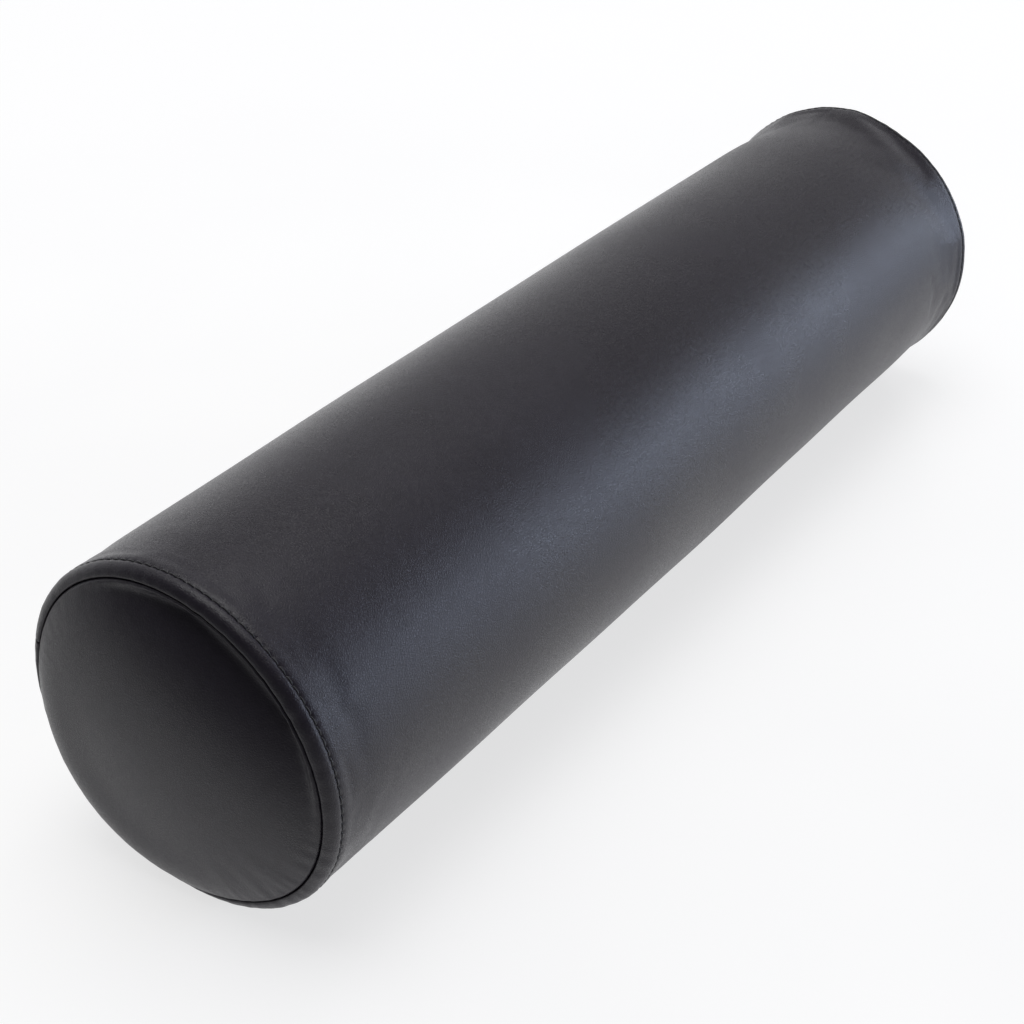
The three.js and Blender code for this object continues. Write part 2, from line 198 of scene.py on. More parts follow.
def make_piece(
    name: str,
    points: Array,
    faces: Faces,
    material: bpy.types.Material,
    tidy: bool = True,
) -> Piece:
    """Makes a smooth-shaded mesh object with its place in its mesh.

    Args:
        name: The piece's name.
        points: Points in metres.
        faces: Faces as tuples of point numbers.
        material: The finish.
        tidy: Whether the faces are turned to point outwards, for a closed form.

    Returns:
        The new object, at the origin.
    """
    mesh = bpy.data.meshes.new(name)
    mesh.from_pydata(points.tolist(), [], faces)
    mesh.update()
    if tidy:
        work = bmesh.new()
        work.from_mesh(mesh)
        bmesh.ops.recalc_face_normals(work, faces=work.faces)
        work.to_mesh(mesh)
        work.free()
    mesh.shade_smooth()
    mesh.materials.append(material)
    piece = bpy.data.objects.new(name, mesh)
    bpy.context.scene.collection.objects.link(piece)
    return piece


def place(piece: Piece, body: str, slot: str, *nodes: str) -> Piece:
    """Puts a finished piece on its body, in place of its CAD nodes.

    Args:
        piece: The finished piece.
        body: The CAD body it rides on.
        slot: The record's material slot; not used.
        *nodes: The CAD nodes it stands for.

    Returns:
        The same piece.
    """
    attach(piece, body)
    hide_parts(*nodes)
    log.info("%s: %d faces on %s, for %s", piece.name, len(piece.data.polygons), body, ", ".join(nodes))
    return piece


# --------------------------------------------------------------------------- shader building


class Tree:
    """A short way to write shader and geometry node trees."""

    def __init__(self, nodes: bpy.types.NodeTree) -> None:
        """Works on an existing node tree."""
        self.tree = nodes

    def add(self, kind: str, **settings: object) -> Node:
        """Adds a node.

        Args:
            kind: The node's type name.
            **settings: Properties of the node.

        Returns:
            The new node.
        """
        node = self.tree.nodes.new(kind)
        for key, value in settings.items():
            setattr(node, key, value)
        return node

    def join(self, source: Socket, target: Socket) -> None:
        """Links one socket to another."""
        self.tree.links.new(source, target)

    def maths(self, operation: str, first: object, second: object = 0.0, third: object = None) -> Socket:
        """A Math node whose inputs are sockets or numbers.

        Args:
            operation: The Math node's operation.
            first: First input.
            second: Second input.
            third: Third input, where the operation has one.

        Returns:
            Its output socket.
        """
        node = self.add("ShaderNodeMath", operation=operation)
        for socket, value in zip(node.inputs, (first, second, third)):
            if isinstance(value, Socket):
                self.join(value, socket)
            elif value is not None:
                socket.default_value = value
        return node.outputs[0]

    def blend(self, first: Socket, share: float, second: Socket, rest: float) -> Socket:
        """A share of one varying value added to a share of another."""
        return self.maths("MULTIPLY_ADD", first, share, self.maths("MULTIPLY", second, rest))

    def product(self, first: object, second: object) -> Socket:
        """One value times another."""
        return self.maths("MULTIPLY", first, second)

    def spread(self, value: Socket, low: float, high: float, to: Range = (0.0, 1.0)) -> Socket:
        """Maps a varying value smoothly from one range to another.

        Args:
            value: The varying value.
            low: Where its range starts.
            high: Where it ends.
            to: The new range.

        Returns:
            The mapped socket.
        """
        node = self.add("ShaderNodeMapRange", interpolation_type="SMOOTHSTEP")
        self.join(value, node.inputs["Value"])
        node.inputs["From Min"].default_value, node.inputs["From Max"].default_value = low, high
        node.inputs["To Min"].default_value, node.inputs["To Max"].default_value = to
        return node.outputs["Result"]

    def tint(self, factor: Socket, first: Triple | Socket, second: Triple) -> Socket:
        """Mixes two colours by a varying value.

        Args:
            factor: 0 for the first colour and 1 for the second.
            first: Linear red, green and blue, or a colour socket.
            second: Linear red, green and blue.

        Returns:
            The colour socket.
        """
        node = self.add("ShaderNodeMix", data_type="RGBA")
        self.join(factor, node.inputs["Factor"])
        if isinstance(first, Socket):
            self.join(first, node.inputs["A"])
        else:
            node.inputs["A"].default_value = (*first, 1)
        node.inputs["B"].default_value = (*second, 1)
        return node.outputs["Result"]

    def split(self, vector: Socket) -> Node:
        """A node whose outputs are a vector's X, Y and Z."""
        parts = self.add("ShaderNodeSeparateXYZ")
        self.join(vector, parts.inputs[0])
        return parts

    def facing(self, vector: Socket, direction: Triple) -> Socket:
        """How far a vector goes in a given direction."""
        node = self.add("ShaderNodeVectorMath", operation="DOT_PRODUCT")
        self.join(vector, node.inputs[0])
        node.inputs[1].default_value = direction
        return node.outputs["Value"]

    def stretched(self, vector: Socket, along: float) -> Socket:
        """A vector whose X is scaled, so that what reads it is drawn out along the bolster."""
        node = self.add("ShaderNodeMapping")
        node.inputs["Scale"].default_value = (along, 1.0, 1.0)
        self.join(vector, node.inputs["Vector"])
        return node.outputs["Vector"]


def new_group(
    name: str, inputs: dict[str, tuple[str, float | None]], outputs: dict[str, str]
) -> tuple[Tree, Node, Node]:
    """Starts a shader node group with named sockets.

    Args:
        name: The group's name.
        inputs: Socket name to its kind and its usual value.
        outputs: Socket name to its kind.

    Returns:
        The tree, its input node and its output node.
    """
    group = bpy.data.node_groups.new(name, "ShaderNodeTree")
    for label, (kind, usual) in inputs.items():
        socket = group.interface.new_socket(label, in_out="INPUT", socket_type=kind)
        if usual is not None:
            socket.default_value = usual
    for label, kind in outputs.items():
        group.interface.new_socket(label, in_out="OUTPUT", socket_type=kind)
    tree = Tree(group)
    return tree, tree.add("NodeGroupInput"), tree.add("NodeGroupOutput")


FLOAT = "NodeSocketFloat"
VECTOR = "NodeSocketVector"


def pebble_group() -> bpy.types.NodeTree:
    """The embossed grain of leather cloth: raised pebbles of two sizes parted by fine creases."""
    tree, inside, outside = new_group(
        "Pebble grain",
        {"Vector": (VECTOR, None), "Pebbles": (FLOAT, 800.0), "Sway": (FLOAT, 0.0004)},
        {"Height": FLOAT, "Crease": FLOAT},
    )
    sway = tree.add("ShaderNodeTexNoise")
    sway.inputs["Detail"].default_value = 1.0
    tree.join(inside.outputs["Vector"], sway.inputs["Vector"])
    tree.join(tree.product(inside.outputs["Pebbles"], 0.4), sway.inputs["Scale"])
    shift = tree.add("ShaderNodeVectorMath", operation="MULTIPLY_ADD")
    tree.join(sway.outputs["Color"], shift.inputs[0])
    tree.join(inside.outputs["Sway"], shift.inputs[1])
    tree.join(inside.outputs["Vector"], shift.inputs[2])
    layers = []
    for share in (1.0, 2.1):
        cells = tree.add("ShaderNodeTexVoronoi", feature="DISTANCE_TO_EDGE")
        tree.join(shift.outputs[0], cells.inputs["Vector"])
        tree.join(tree.product(inside.outputs["Pebbles"], share), cells.inputs["Scale"])
        layers.append(tree.spread(cells.outputs["Distance"], 0.0, 0.26))
    tree.join(tree.blend(layers[1], 0.4, layers[0], 0.6), outside.inputs["Height"])
    tree.join(tree.maths("SUBTRACT", 1.0, layers[0]), outside.inputs["Crease"])
    return tree.tree


def cloud_group() -> bpy.types.NodeTree:
    """Slow unevenness of tone, as any dyed or moulded surface has."""
    tree, inside, outside = new_group(
        "Cloudy tone",
        {"Vector": (VECTOR, None), "Clouds": (FLOAT, 12.0), "Detail": (FLOAT, 3.0)},
        {"Tone": FLOAT},
    )
    noise = tree.add("ShaderNodeTexNoise")
    for label, target in (("Vector", "Vector"), ("Clouds", "Scale"), ("Detail", "Detail")):
        tree.join(inside.outputs[label], noise.inputs[target])
    tree.join(tree.spread(noise.outputs["Fac"], 0.3, 0.7), outside.inputs["Tone"])
    return tree.tree


def weave_group() -> bpy.types.NodeTree:
    """Threads over and under each other, for woven tape and for the plies of a thread."""
    tree, inside, outside = new_group(
        "Woven threads",
        {"Vector": (VECTOR, None), "Threads": (FLOAT, 1800.0)},
        {"Height": FLOAT},
    )
    parts = tree.split(inside.outputs["Vector"])
    turns = tree.product(inside.outputs["Threads"], TURN)
    waves = [tree.maths("SINE", tree.product(parts.outputs[axis], turns)) for axis in "XZ"]
    tree.join(tree.maths("MULTIPLY_ADD", tree.product(*waves), 0.5, 0.5), outside.inputs["Height"])
    return tree.tree


@dataclass
class Effects:
    """The node groups that several finishes share."""

    pebbles: bpy.types.NodeTree = field(default_factory=pebble_group)
    clouds: bpy.types.NodeTree = field(default_factory=cloud_group)
    weave: bpy.types.NodeTree = field(default_factory=weave_group)

    def use(self, tree: Tree, group: bpy.types.NodeTree, where: Socket, **values: float) -> Node:
        """Puts a group in a material with its own values.

        Args:
            tree: The material's tree.
            group: The shared group.
            where: The coordinates it reads.
            **values: Its input values by name.

        Returns:
            The group node.
        """
        node = tree.add("ShaderNodeGroup", node_tree=group)
        tree.join(where, node.inputs["Vector"])
        for label, value in values.items():
            node.inputs[label].default_value = value
        return node

    def tone(self, tree: Tree, where: Socket, clouds: float, detail: float) -> Socket:
        """Cloudy tone with a given number of clouds to the metre."""
        return self.use(tree, self.clouds, where, Clouds=clouds, Detail=detail).outputs["Tone"]


class Look(NamedTuple):
    """What varies over a finish, each from 0 to 1."""

    tone: Socket
    wear: Socket
    height: Socket | None = None
    glow: Socket | None = None


@dataclass(frozen=True)
class Finish:
    """A material with one Principled shader that reads Object coordinates.

    The look method of each kind of finish says what varies over it: tone goes from the dark colour to
    the light one, wear through the range of roughness, and height up to the relief in millimetres.
    """

    name: str
    dark: Triple
    light: Triple
    roughness: Range
    relief: float = 0.0
    constants: tuple[tuple[str, float], ...] = ()

    def look(self, tree: Tree, effects: Effects, where: Socket) -> Look:
        """What varies over the finish."""
        raise NotImplementedError

    def colour(self, tree: Tree, tone: Socket, where: Socket) -> Socket:
        """The base colour at every place."""
        return tree.tint(tone, self.dark, self.light)

    def make(self, effects: Effects) -> bpy.types.Material:
        """Builds the material.

        Args:
            effects: The shared node groups.

        Returns:
            The material.
        """
        material = bpy.data.materials.new(self.name)
        material.use_nodes = True
        tree = Tree(material.node_tree)
        shader = material.node_tree.nodes["Principled BSDF"]
        where = tree.add("ShaderNodeTexCoord").outputs["Object"]
        look = self.look(tree, effects, where)
        tree.join(self.colour(tree, look.tone, where), shader.inputs["Base Color"])
        tree.join(tree.spread(look.wear, 0.0, 1.0, self.roughness), shader.inputs["Roughness"])
        if look.height is not None:
            bump = tree.add("ShaderNodeBump")
            bump.inputs["Distance"].default_value = self.relief * MM
            tree.join(look.height, bump.inputs["Height"])
            tree.join(bump.outputs["Normal"], shader.inputs["Normal"])
        if look.glow is not None:
            tree.join(tree.tint(look.glow, UNLIT, WHITE), shader.inputs["Emission Color"])
        for label, value in self.constants:
            shader.inputs[label].default_value = value
        return material


@dataclass(frozen=True)
class LeatherCloth(Finish):
    """Black leather cloth: dull pebbled vinyl on a knitted back, shinier on its pebbles."""

    name: str = "Black leather cloth"
    dark: Triple = (0.0124, 0.0098, 0.0160)
    light: Triple = (0.0206, 0.0172, 0.0262)
    roughness: Range = (0.25, 0.41)
    relief: float = 0.075
    constants: tuple[tuple[str, float], ...] = (("IOR", 1.43),)
    pebbles: float = 860.0

    def look(self, tree: Tree, effects: Effects, where: Socket) -> Look:
        """Broad and fine clouds of tone, with painted shade that darkens the creases between the pebbles,
        which are also duller.
        """
        broad = effects.tone(tree, where, 9.0, 4.0)
        fine = effects.tone(tree, where, 140.0, 2.0)
        grain = effects.use(tree, effects.pebbles, where, Pebbles=self.pebbles, Sway=0.0006)
        crease = grain.outputs["Crease"]
        # Painted shade: the colour is darkened in the creases between the pebbles.
        tone = tree.maths("SUBTRACT", tree.blend(fine, 0.35, broad, 0.65), tree.product(crease, 0.35))
        height = tree.maths("MULTIPLY_ADD", fine, 0.25, grain.outputs["Height"])
        return Look(tone, tree.blend(broad, 0.5, crease, 0.5), height)


@dataclass(frozen=True)
class SewingThread(Finish):
    """Black bonded thread of two plies laid round each other."""

    name: str = "Black sewing thread"
    dark: Triple = (0.006, 0.006, 0.007)
    light: Triple = (0.016, 0.016, 0.018)
    roughness: Range = (0.45, 0.7)
    relief: float = 0.06
    constants: tuple[tuple[str, float], ...] = (("Sheen Weight", 0.15),)
    turns: float = 7.0

    def look(self, tree: Tree, effects: Effects, where: Socket) -> Look:
        """Plies that turn along each stitch, read from its lay attribute, and a little fuzz."""
        along = tree.add("ShaderNodeAttribute", attribute_name="lay")
        ply = tree.maths("SINE", tree.product(along.outputs["Fac"], self.turns * TURN))
        fuzz = effects.tone(tree, where, 2600.0, 2.0)
        mixed = tree.blend(fuzz, 0.4, tree.maths("MULTIPLY_ADD", ply, 0.5, 0.5), 0.6)
        return Look(mixed, fuzz, mixed)


@dataclass(frozen=True)
class Foam(Finish):
    """Firm upholstery foam, a little yellowed, with a black strip of painted shade on it under the zip,
    where the gap between the zip's coils shows only shade.
    """

    name: str = "Upholstery foam"
    dark: Triple = (0.42, 0.36, 0.22)
    light: Triple = (0.74, 0.68, 0.50)
    roughness: Range = (0.82, 0.96)
    relief: float = 0.6
    # Painted shade: the black strip's colour, painted on the foam where it shows through the gap of the
    # zip.
    strip: Triple = (0.010, 0.010, 0.011)
    zip_side: Triple = (0.0, 0.966, 0.259)
    strip_reach: float = 0.0947

    def look(self, tree: Tree, effects: Effects, where: Socket) -> Look:
        """Open cells, darker in their walls' shadow."""
        cells = effects.use(tree, effects.pebbles, where, Pebbles=620.0, Sway=0.001)
        aged = effects.tone(tree, where, 14.0, 3.0)
        crease = cells.outputs["Crease"]
        open_face = tree.maths("SUBTRACT", 1.0, crease)
        return Look(tree.product(open_face, aged), crease, cells.outputs["Height"])

    def colour(self, tree: Tree, tone: Socket, where: Socket) -> Socket:
        """Foam colour, with the black of the painted shade strip on the side towards the zip."""
        painted_shade = tree.maths("GREATER_THAN", tree.facing(where, self.zip_side), self.strip_reach)
        return tree.tint(painted_shade, tree.tint(tone, self.dark, self.light), self.strip)


@dataclass(frozen=True)
class Wadding(Finish):
    """White polyester wadding: long matted fibres."""

    name: str = "Polyester wadding"
    dark: Triple = (0.62, 0.62, 0.60)
    light: Triple = (0.86, 0.86, 0.84)
    roughness: Range = (0.8, 0.98)
    relief: float = 0.5
    constants: tuple[tuple[str, float], ...] = (("Sheen Weight", 0.3),)

    def look(self, tree: Tree, effects: Effects, where: Socket) -> Look:
        """Fibres combed along the bolster, in tufts."""
        fibres = effects.tone(tree, tree.stretched(where, 0.12), 900.0, 5.0)
        matted = tree.blend(fibres, 0.6, effects.tone(tree, where, 60.0, 3.0), 0.4)
        return Look(matted, matted, matted)


@dataclass(frozen=True)
class ZipTape(Finish):
    """Black woven polyester zip tape."""

    name: str = "Black zip tape"
    dark: Triple = (0.007, 0.007, 0.008)
    light: Triple = (0.024, 0.024, 0.026)
    roughness: Range = (0.7, 0.9)
    relief: float = 0.12

    def look(self, tree: Tree, effects: Effects, where: Socket) -> Look:
        """Threads over and under each other, with a little dust."""
        woven = effects.use(tree, effects.weave, where, Threads=1500.0).outputs["Height"]
        dust = effects.tone(tree, where, 90.0, 4.0)
        return Look(tree.blend(dust, 0.4, woven, 0.6), dust, woven)


@dataclass(frozen=True)
class Nylon(Finish):
    """Black nylon wire of a coil zip: smooth, a little worn on top."""

    name: str = "Black nylon coil"
    dark: Triple = (0.010, 0.010, 0.011)
    light: Triple = (0.030, 0.030, 0.032)
    roughness: Range = (0.28, 0.42)
    relief: float = 0.02

    def look(self, tree: Tree, effects: Effects, where: Socket) -> Look:
        """Rubbed patches over drawn wire."""
        rubbed = effects.tone(tree, where, 240.0, 3.0)
        return Look(rubbed, rubbed, effects.tone(tree, where, 1600.0, 1.0))


@dataclass(frozen=True)
class DarkMetal(Finish):
    """Zip metal under dark lacquer: fine scuffs show brighter metal."""

    name: str = "Dark zip metal"
    dark: Triple = (0.060, 0.060, 0.065)
    light: Triple = (0.16, 0.155, 0.15)
    roughness: Range = (0.24, 0.44)
    relief: float = 0.015
    constants: tuple[tuple[str, float], ...] = (("Metallic", 0.9),)

    def look(self, tree: Tree, effects: Effects, where: Socket) -> Look:
        """Scuffs drawn out along the zip, which gather in patches."""
        scuffs = effects.tone(tree, tree.stretched(where, 0.15), 2400.0, 4.0)
        worn = tree.product(scuffs, effects.tone(tree, where, 170.0, 3.0))
        return Look(tree.spread(worn, 0.30, 1.3), scuffs, scuffs)


@dataclass(frozen=True)
class PaleFloor(Finish):
    """The studio's pale sweep: smooth, faintly glossy, clean, and lit from under."""

    name: str = "Pale studio floor"
    dark: Triple = (0.33, 0.33, 0.335)
    light: Triple = (0.36, 0.36, 0.36)
    roughness: Range = (0.30, 0.38)
    constants: tuple[tuple[str, float], ...] = (("Specular IOR Level", 0.25), ("Emission Strength", 0.70))

    def look(self, tree: Tree, effects: Effects, where: Socket) -> Look:
        """Light that is even to the eye but fades, for what it lights, in front and to the right."""
        tone = effects.tone(tree, where, 3.0, 3.0)
        parts = tree.split(where)
        away = tree.maths("SUBTRACT", parts.outputs["X"], parts.outputs["Y"])
        front = tree.spread(parts.outputs["X"], -0.66, -0.22)
        side = tree.spread(away, 0.44, 1.0, (1.0, 0.25))
        seen = tree.add("ShaderNodeLightPath").outputs["Is Camera Ray"]
        lit = tree.maths("MAXIMUM", tree.product(front, side), seen)
        return Look(tree.product(lit, tone), tone, glow=lit)


@dataclass
class Palette:
    """Every finish of the bolster, made once."""

    effects: Effects = field(default_factory=Effects)

    def __post_init__(self) -> None:
        """Builds the materials."""
        self.leather = LeatherCloth().make(self.effects)
        self.thread = SewingThread().make(self.effects)
        self.foam = Foam().make(self.effects)
        self.wadding = Wadding().make(self.effects)
        self.tape = ZipTape().make(self.effects)
        self.nylon = Nylon().make(self.effects)
        self.metal = DarkMetal().make(self.effects)
        self.floor = PaleFloor().make(self.effects)


# --------------------------------------------------------------------------- the shape of the cover


@dataclass
class CoverShape:
    """The outer surface of the filled cover, end panels and body in one.

    A place on it is a distance along the leather from the end seam, positive over the body and negative
    over the end panel, and an angle from +Y towards +Z round the axis.

    Each dent, swell or crease is a height in millimetres, times a window of the angle, which gives its
    middle and its reach in degrees, times a bell of the distance, which gives its width in millimetres.
    """

    axis: float = 0.0
    seam: float = 0.0
    body_radius: float = 79.0
    seam_radius: float = 73.7
    shoulder: float = 5.0
    crown: float = 4.0
    barrel: float = 1.2
    zip_angle: float = math.radians(15)
    topstitch: float = 9.3
    stitches_round: int = 112
    leather: float = 1.1
    dish_reach: float = 66.0
    dish_depth: float = 4.2
    waves: "dict[str, Draped]" = field(default_factory=dict)

    def __post_init__(self) -> None:
        """Reads the axis height and the seam planes from the CAD model, and tables the plain outline."""
        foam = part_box("foam_core")
        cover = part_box("cover_body_panel")
        self.axis = (foam[1].z - foam[1].y) / MM
        self.seam = cover[1].x / MM
        sweep = np.linspace(0, math.pi / 2, 160)
        radius = np.linspace(0, self.seam_radius, 220)[:-1]
        straight = np.linspace(self.shoulder, self.seam, 400)[1:]
        crowned = -self.crown * (1 - (radius / self.seam_radius) ** 2)
        depth = np.concatenate([crowned, self.shoulder * (1 - np.cos(sweep)), straight])
        rounded = self.seam_radius + (self.body_radius - self.seam_radius) * np.sin(sweep)
        out = np.concatenate([radius, rounded, np.full_like(straight, self.body_radius)])
        run = np.concatenate([[0], np.cumsum(np.hypot(np.diff(depth), np.diff(out)))])
        self._seam_row = len(radius)
        self._run = run - run[self._seam_row]
        self._depth, self._out = depth, out
        slope_depth, slope_out = np.gradient(depth, run), np.gradient(out, run)
        length = np.hypot(slope_depth, slope_out)
        self._normal_depth, self._normal_out = -slope_out / length, slope_depth / length

    @property
    def centre_run(self) -> float:
        """Distance along the panel from the seam to its centre, as a negative number."""
        return float(self._run[0])

    @property
    def middle_run(self) -> float:
        """Distance over the body from an end seam to the middle of the bolster."""
        return float(self._run[-1])

    def run_at(self, depth: float) -> float:
        """Distance over the body from the seam to a given depth in from the seam plane."""
        return float(np.interp(depth, self._depth[self._seam_row :], self._run[self._seam_row :]))

    def depth_at(self, run: float) -> float:
        """Depth in from the seam plane at a given distance over the leather."""
        return float(np.interp(run, self._run, self._depth))

    def slide(self, run: Array, angle: Array, end: End) -> Array:
        """How far the stuffing has rolled the seam round the shoulder."""
        if end is End.FRONT:
            roll = 5.4 * window(angle, -46, 76) - 0.5 * window(angle, 130, 70)
        else:
            roll = 3.0 * window(angle, -70, 75) - 2.6 * window(angle, 115, 100)
        return roll * bell(run, 30.0)

    def gather(self, run: Array, angle: Array, end: End) -> Array:
        """Fine puckers across an end seam, where the longer edge was eased into the shorter one."""
        if end is End.FRONT:
            amount = 0.035 + 0.09 * window(angle, 118, 62) + 0.06 * window(angle, 222, 55)
        else:
            amount = 0.05 + 0.06 * window(angle, 120, 70)
        fade = np.where(run < 0, bell(run, 6.5), bell(run, 8.0))
        return amount * fade * ripple(angle, 34, 84, 31 + end.value)

    def corner(self, run: Array, angle: Array, end: End) -> Array:
        """How much fuller than its plain outline the rounded edge between panel and body is."""
        if end is End.FRONT:
            full = 0.5 * window(angle, -20, 80) + 0.3 * window(angle, 200, 60)
            width = 13.0
        else:
            full = 1.2 + 0.9 * window(angle, 75, 75) - 0.8 * window(angle, 128, 30)
            full = full + 0.9 * window(angle, 180, 60)
            width = 17.0
        return full * bell(run - 2.0, width)

    def panel_swell(self, run: Array, angle: Array, end: End) -> Array:
        """How far an end panel stands out of its plain crown, or dips into it."""
        inward = -run
        radius = self.seam_radius - inward
        share = radius / self.seam_radius
        lip = 1 - bell(inward, 3.4)
        if end is End.FRONT:
            # Dished towards the top, with the stuffing standing in the middle.
            towards = np.clip(radius * np.cos(angle - math.radians(124)), 0, None)
            swell = -8.2 * (towards / self.dish_reach) ** 3.8 * lip
            swell = swell + 4.6 * (1 - share**2) + 2.4 * (1 - share**6)
            # A raised lip round the dish, and the full side under it.
            swell = swell + 0.7 * bell(inward - 1.8, 1.8) * window(angle, 128, 88)
            swell = swell + 2.5 * bell(inward - 11.0, 12.0) * window(angle, -46, 84) * lip
            creases = 0.07 * window(angle, 236, 40) * bell(inward - 8.0, 13.0) * ripple(angle, 13, 30, 12)
        else:
            towards = np.clip(radius * np.cos(angle - math.radians(65)), 0, None)
            swell = -3.6 * (towards / self.dish_reach) ** 2.2 * lip
            swell = swell + 2.8 * bell(inward - 15.0, 18.0) * window(angle, -95, 95) * lip
            creases = 0.16 * window(angle, 110, 50) * bell(inward - 9.0, 14.0) * ripple(angle, 12, 28, 22)
        swell = np.maximum(swell, -self.crown * (1 - share**2) - self.dish_depth)
        return swell + creases * lip + self.corner(run, angle, end) + self.gather(run, angle, end)

    def body_swell(self, run: Array, angle: Array, end: End) -> Array:
        """How far the body stands out of its plain cylinder, or dips into it, away from its stitching."""
        depth = np.interp(run, self._run, self._depth)
        along = end.value * (self.seam - depth)
        swell = self.barrel * (1 - (along / self.seam) ** 2) * np.clip(run / 20, 0, 1)
        swell = swell + 0.14 * rolling(along, angle, (90.0, 420.0), 5) * np.clip(run / 30, 0, 1)
        # The zip's stiff tapes flatten the leather over them.
        across = (angle - self.zip_angle + math.pi) % TURN - math.pi
        swell = swell - 0.5 * bell(across * self.body_radius, 16.0) * np.clip(run / 30, 0, 1)
        if end is End.FRONT:
            swell = swell - 0.3 * bell(depth - 17.0, 10.0)
            pull = 0.05 + 0.09 * window(angle, 215, 60)
        else:
            # A waist behind the far seam, then the slanting dents and the ridge beside it.
            swell = swell - 1.5 * bell(depth - 31.0, 17.0) * (0.25 + 0.75 * window(angle, 48, 70))
            degrees = np.degrees(angle)
            slant = degrees - 116 - 0.8 * (depth - 12.0)
            swell = swell - 2.3 * bell(slant, 15.0) * bell(depth - 12.0, 9.0)
            second = degrees - 138 + 0.5 * (depth - 30)
            swell = swell - 1.3 * bell(second, 13.0) * bell(depth - 30.0, 24.0)
            swell = swell + 0.6 * bell(slant + 21, 10.0) * bell(depth - 16.0, 10.0)
            furrow = degrees - 175 - 0.12 * (depth - 40)
            swell = swell - 0.6 * bell(furrow, 8.5) * bell(depth - 58.0, 42.0)
            pull = 0.08 + 0.08 * window(angle, 140, 70)
        pulls = pull * ripple(angle, 9, 24, 51 + end.value) * bell(run - 14.0, 16.0)
        swell = swell * np.clip(run / 3, 0, 1) + pulls * np.clip(run / 6, 0, 1)
        return swell + self.corner(run, angle, end) + self.gather(run, angle, end)

    def stitching(self, run: Array, turn: Array) -> Array:
        """What sewing does to the body near an end: a raised band, a stitched valley and needle dimples."""
        band = 0.12 * bell(run - 5.4, 2.6)
        valley = -0.24 * bell(run - self.topstitch, 1.0) + 0.05 * bell(run - 12.8, 2.4)
        phase = (turn * self.stitches_round) % 1.0 - 0.5
        dimple = -0.80 * bell(phase * 4.43, 0.75) * bell(run - self.topstitch, 0.85)
        return band + valley + dimple

    def place(self, run: Array, lift: Array, angle: Array, end: End) -> Array:
        """Turns places on the leather into points.

        Args:
            run: Distances from the end seam.
            lift: Heights above the plain outline.
            angle: Angles round the axis.
            end: Which end the distances start from.

        Returns:
            Points in metres, one row for each place.
        """
        run, lift, angle = np.broadcast_arrays(run, lift, angle)
        moved = np.clip(run + self.slide(run, angle, end), self._run[0], self._run[-1])
        outline = (self._depth, self._out, self._normal_depth, self._normal_out)
        depth, out, depth_step, out_step = (np.interp(moved, self._run, values) for values in outline)
        along = end.value * (self.seam - (depth + lift * depth_step))
        return self.at(along, out + lift * out_step, angle)

    def at(self, along: Array, out: Array, angle: Array, floor: float = 0.0) -> Array:
        """Points from distances along and out from the axis, with the underside settled on the floor.

        Args:
            along: Distances along the axis from the middle.
            out: Distances from the axis.
            angle: Angles round the axis.
            floor: How high above the floor the lowest point may be.

        Returns:
            Points in metres.
        """
        along, out, angle = np.broadcast_arrays(along, out, angle)
        height = settle(self.axis + out * np.sin(angle) - floor) + floor
        return np.stack([along, out * np.cos(angle), height], axis=-1) * MM

    def outer(self, run: Array, angle: Array, end: End, lift: float = 0.0) -> Array:
        """Points on the leather's surface over the body, for what is sewn on it.

        Args:
            run: Distances from the end seam.
            angle: Angles round the axis.
            end: Which end the distances start from.
            lift: How far above the surface.

        Returns:
            Points in metres.
        """
        run, angle = np.broadcast_arrays(np.asarray(run, float), np.asarray(angle, float))
        turn = ((angle - self.zip_angle) % TURN) / TURN
        height = self.body_height(run, angle, turn, end)
        return self.place(run, height + lift, angle, end)

    def body_height(self, run: Array, angle: Array, turn: Array, end: End) -> Array:
        """The body's whole height above its plain outline: swell, stitching, and the drape of the cloth."""
        height = self.body_swell(run, angle, end) + self.stitching(run, turn)
        name = f"body_{end.label}"
        if name in self.waves:
            fade = bell(np.clip(run - 60.0, 0, None), 22.0) * np.clip((run - self.topstitch) / 2.5, 0, 1)
            share = 0.45 if end is End.FRONT else 0.8
            height = height + share * self.waves[name].height(run, angle) * fade
        return height

    def panel_height(self, run: Array, angle: Array, end: End) -> Array:
        """An end panel's whole height above its plain crown, the drape of the cloth included."""
        height = self.panel_swell(run, angle, end)
        name = f"panel_{end.label}"
        if name in self.waves:
            fade = bell(np.clip(-run - 22.0, 0, None), 12.0) * np.clip(-run / 3.0, 0, 1)
            share = 0.25 if end is End.FRONT else 0.6
            height = height + share * self.waves[name].height(-run, angle) * fade
        return height


@dataclass
class Draped:
    """What a cloth simulation did to a sheet, as heights over a grid of distances and angles."""

    distances: Array
    heights: Array

    def height(self, distance: Array, angle: Array) -> Array:
        """Heights at any places on the sheet, smoothed between the grid's points.

        Args:
            distance: Distances in the grid's own measure.
            angle: Angles in radians.

        Returns:
            Heights in millimetres.
        """
        distance, angle = np.broadcast_arrays(distance, angle)
        columns = self.heights.shape[1]
        row = np.interp(distance, self.distances, np.arange(len(self.distances)))
        column = (angle / TURN * columns) % columns
        low_row = np.clip(np.floor(row).astype(int), 0, len(self.distances) - 2)
        low_column = np.floor(column).astype(int) % columns
        part_row, part_column = row - low_row, column - np.floor(column)
        part_row = part_row * part_row * (3 - 2 * part_row)
        part_column = part_column * part_column * (3 - 2 * part_column)
        next_column = (low_column + 1) % columns
        near, far = (
            self.heights[one, low_column] * (1 - part_column)
            + self.heights[one, next_column] * part_column
            for one in (low_row, low_row + 1)
        )
        return near * (1 - part_row) + far * part_row


